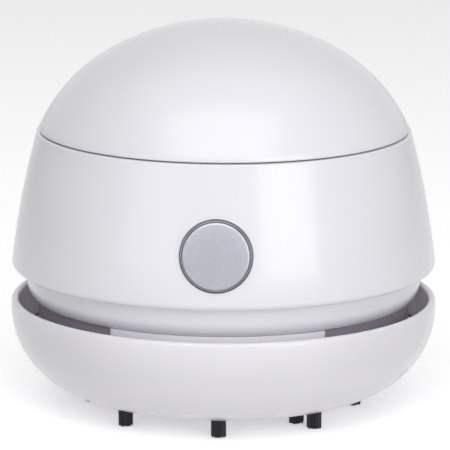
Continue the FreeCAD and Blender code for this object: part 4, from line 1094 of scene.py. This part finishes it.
class DESKVAC_OT_battery_bay(PieceOperator, bpy.types.Operator):
    """Finish the battery tray, cells and contacts"""

    bl_idname = "desk_vacuum.battery_bay"
    bl_label = "Battery Bay"

    def execute(self, context):
        colours = self.settings(context).colours
        dress(satin_abs("Satin White ABS Tray", colours.tray), "battery_tray")
        dress(cell_sleeve(colours.cell, colours.cell_band, -1), "battery_cell_front")
        dress(cell_sleeve(colours.cell, colours.cell_band, 1), "battery_cell_back")
        # nickel plate on spring steel: warm bright grey, soft reflections
        nickel = grained("Nickel-Plated Spring Steel", linear("#C9C6BE"), 0.22, 0.4, 0.004, 0.92, 1.0)
        dress(nickel, "contact_plates", "contact_springs")
        return {"FINISHED"}


class DESKVAC_OT_studio(PieceOperator, bpy.types.Operator):
    """Set up the floor, the lights, the surroundings and the camera"""

    bl_idname = "desk_vacuum.studio"
    bl_label = "Studio"

    def execute(self, context):
        every = self.settings(context)
        self.floor(every)
        self.surroundings(context, every)
        studio = every.studio
        aim = Vector((0, 0, studio.look_height))
        # each softbox: power, degrees right of the front and above the horizon, metres away, metres wide
        for name, power, azimuth, elevation, distance, size in (
            ("left_softbox", studio.left, -38, 9, 0.9, 0.5),
            ("right_softbox", studio.right, 38, 9, 0.9, 0.5),
            ("front_softbox", studio.front, 0, 48, 0.9, 0.95),
            ("top_softbox", studio.top, 0, 75, 0.8, 1.15),
        ):
            away = direction(math.radians(azimuth), math.radians(elevation))
            self.lamp(name, power, aim + away * distance, aim, size)
        self.camera(context, studio, aim)
        context.scene.view_settings.view_transform = "Standard"
        return {"FINISHED"}

    def floor(self, every):
        mesh = bmesh.new()
        bmesh.ops.create_grid(mesh, x_segments=8, y_segments=8, size=3.0)
        data = mesh_of("floor", mesh)
        plane = show("floor", data)
        material, tree, place = start_material("Painted Studio Floor")
        # matt paint whose roller texture is about 4 mm
        paint = noise(tree, place, 4, 3.0)
        rough = add_node(tree, "ShaderNodeMapRange", {"To Min": 0.75, "To Max": 0.95, "Value": paint})
        shader = add_node(
            tree,
            "ShaderNodeBsdfPrincipled",
            {
                "Base Color": every.colours.floor,
                "Specular IOR Level": 0.0,
                "Roughness": rough.outputs["Result"],
            },
        )
        # the floor is seen as white as the surroundings, and keeps part of the object's shadow
        glow = compute(tree, "MULTIPLY", self.seen(tree), every.studio.floor_glow)
        white = add_node(tree, "ShaderNodeEmission", {"Color": (1, 1, 1, 1), "Strength": glow})
        total = add_node(tree, "ShaderNodeAddShader", {0: shader.outputs[0], 1: white.outputs[0]})
        add_node(tree, "ShaderNodeOutputMaterial", {"Surface": total.outputs[0]})
        data.materials.append(material)

    def surroundings(self, context, every):
        world = bpy.data.worlds.new("studio_world")
        world.use_nodes = True
        tree = world.node_tree
        tree.nodes.clear()
        level = add_node(
            tree,
            "ShaderNodeMapRange",
            {"To Min": every.studio.ambient, "To Max": 1.0, "Value": self.seen(tree)},
        )
        level = level.outputs["Result"]
        light = add_node(tree, "ShaderNodeBackground", {"Color": (1, 1, 1, 1), "Strength": level})
        add_node(tree, "ShaderNodeOutputWorld", {"Surface": light.outputs[0]})
        context.scene.world = world

    def seen(self, tree):
        """1 for rays that the camera sees directly, mirrored or through something clear, and 0 for light."""
        rays = add_node(tree, "ShaderNodeLightPath").outputs
        direct = compute(tree, "MAXIMUM", rays["Is Camera Ray"], rays["Is Glossy Ray"])
        return compute(tree, "MAXIMUM", direct, rays["Is Transmission Ray"])

    def lamp(self, name, power, place, aim, size):
        data = bpy.data.lights.new(name, "AREA")
        data.shape = "SQUARE"
        data.size = size
        data.energy = power
        lamp = show(name, data)
        lamp.location = place
        lamp.rotation_mode = "QUATERNION"
        lamp.rotation_quaternion = (aim - place).to_track_quat("-Z", "Y")

    def camera(self, context, studio, aim):
        data = bpy.data.cameras.new("camera")
        data.sensor_width = 36.0
        data.lens = studio.lens
        # the photograph's middle is beside the object's by a pixel or so of 450
        data.shift_x = (PHOTO_WIDTH / 2 - PHOTO_AIM[0]) / PHOTO_WIDTH
        data.shift_y = (PHOTO_AIM[1] - PHOTO_WIDTH / 2) / PHOTO_WIDTH
        data.clip_start = 0.01
        camera = show("camera", data)
        away = direction(studio.azimuth, studio.elevation)
        camera.location = aim + away * studio.distance
        camera.rotation_mode = "QUATERNION"
        upright = (-away).to_track_quat("-Z", "Y")
        camera.rotation_quaternion = upright @ Matrix.Rotation(studio.roll, 3, "Z").to_quaternion()
        context.scene.camera = camera


class DESKVAC_PT_panel(bpy.types.Panel):
    """Lists the pieces and their settings"""

    bl_idname = "DESKVAC_PT_panel"
    bl_label = "Desk Vacuum"
    bl_space_type = "VIEW_3D"
    bl_region_type = "UI"
    bl_category = "Desk Vacuum"

    def draw(self, context):
        layout = self.layout
        settings = context.scene.desk_vacuum
        for operator in OPERATORS:
            layout.operator(operator.bl_idname)
        for label in settings.__annotations__:
            group = getattr(settings, label)
            box = layout.box()
            for name in group.__annotations__:
                box.prop(group, name)


GROUPS = (
    DESKVAC_PG_shells,
    DESKVAC_PG_neck,
    DESKVAC_PG_button,
    DESKVAC_PG_bristles,
    DESKVAC_PG_colours,
    DESKVAC_PG_studio,
    DESKVAC_PG_settings,
)
OPERATORS = (
    DESKVAC_OT_studio,
    DESKVAC_OT_dome_cover,
    DESKVAC_OT_main_housing,
    DESKVAC_OT_vent_ring,
    DESKVAC_OT_dust_bowl,
    DESKVAC_OT_bristles,
    DESKVAC_OT_push_button,
    DESKVAC_OT_air_path,
    DESKVAC_OT_motor_and_switch,
    DESKVAC_OT_battery_bay,
)


def register():
    for kind in GROUPS + OPERATORS + (DESKVAC_PT_panel,):
        bpy.utils.register_class(kind)
    bpy.types.Scene.desk_vacuum = PointerProperty(type=DESKVAC_PG_settings)


def unregister():
    del bpy.types.Scene.desk_vacuum
    for kind in reversed(GROUPS + OPERATORS + (DESKVAC_PT_panel,)):
        bpy.utils.unregister_class(kind)


def main():
    register()
    for operator in OPERATORS:
        group, name = operator.bl_idname.split(".")
        getattr(getattr(bpy.ops, group), name)()


if __name__ == "__main__":
    main()
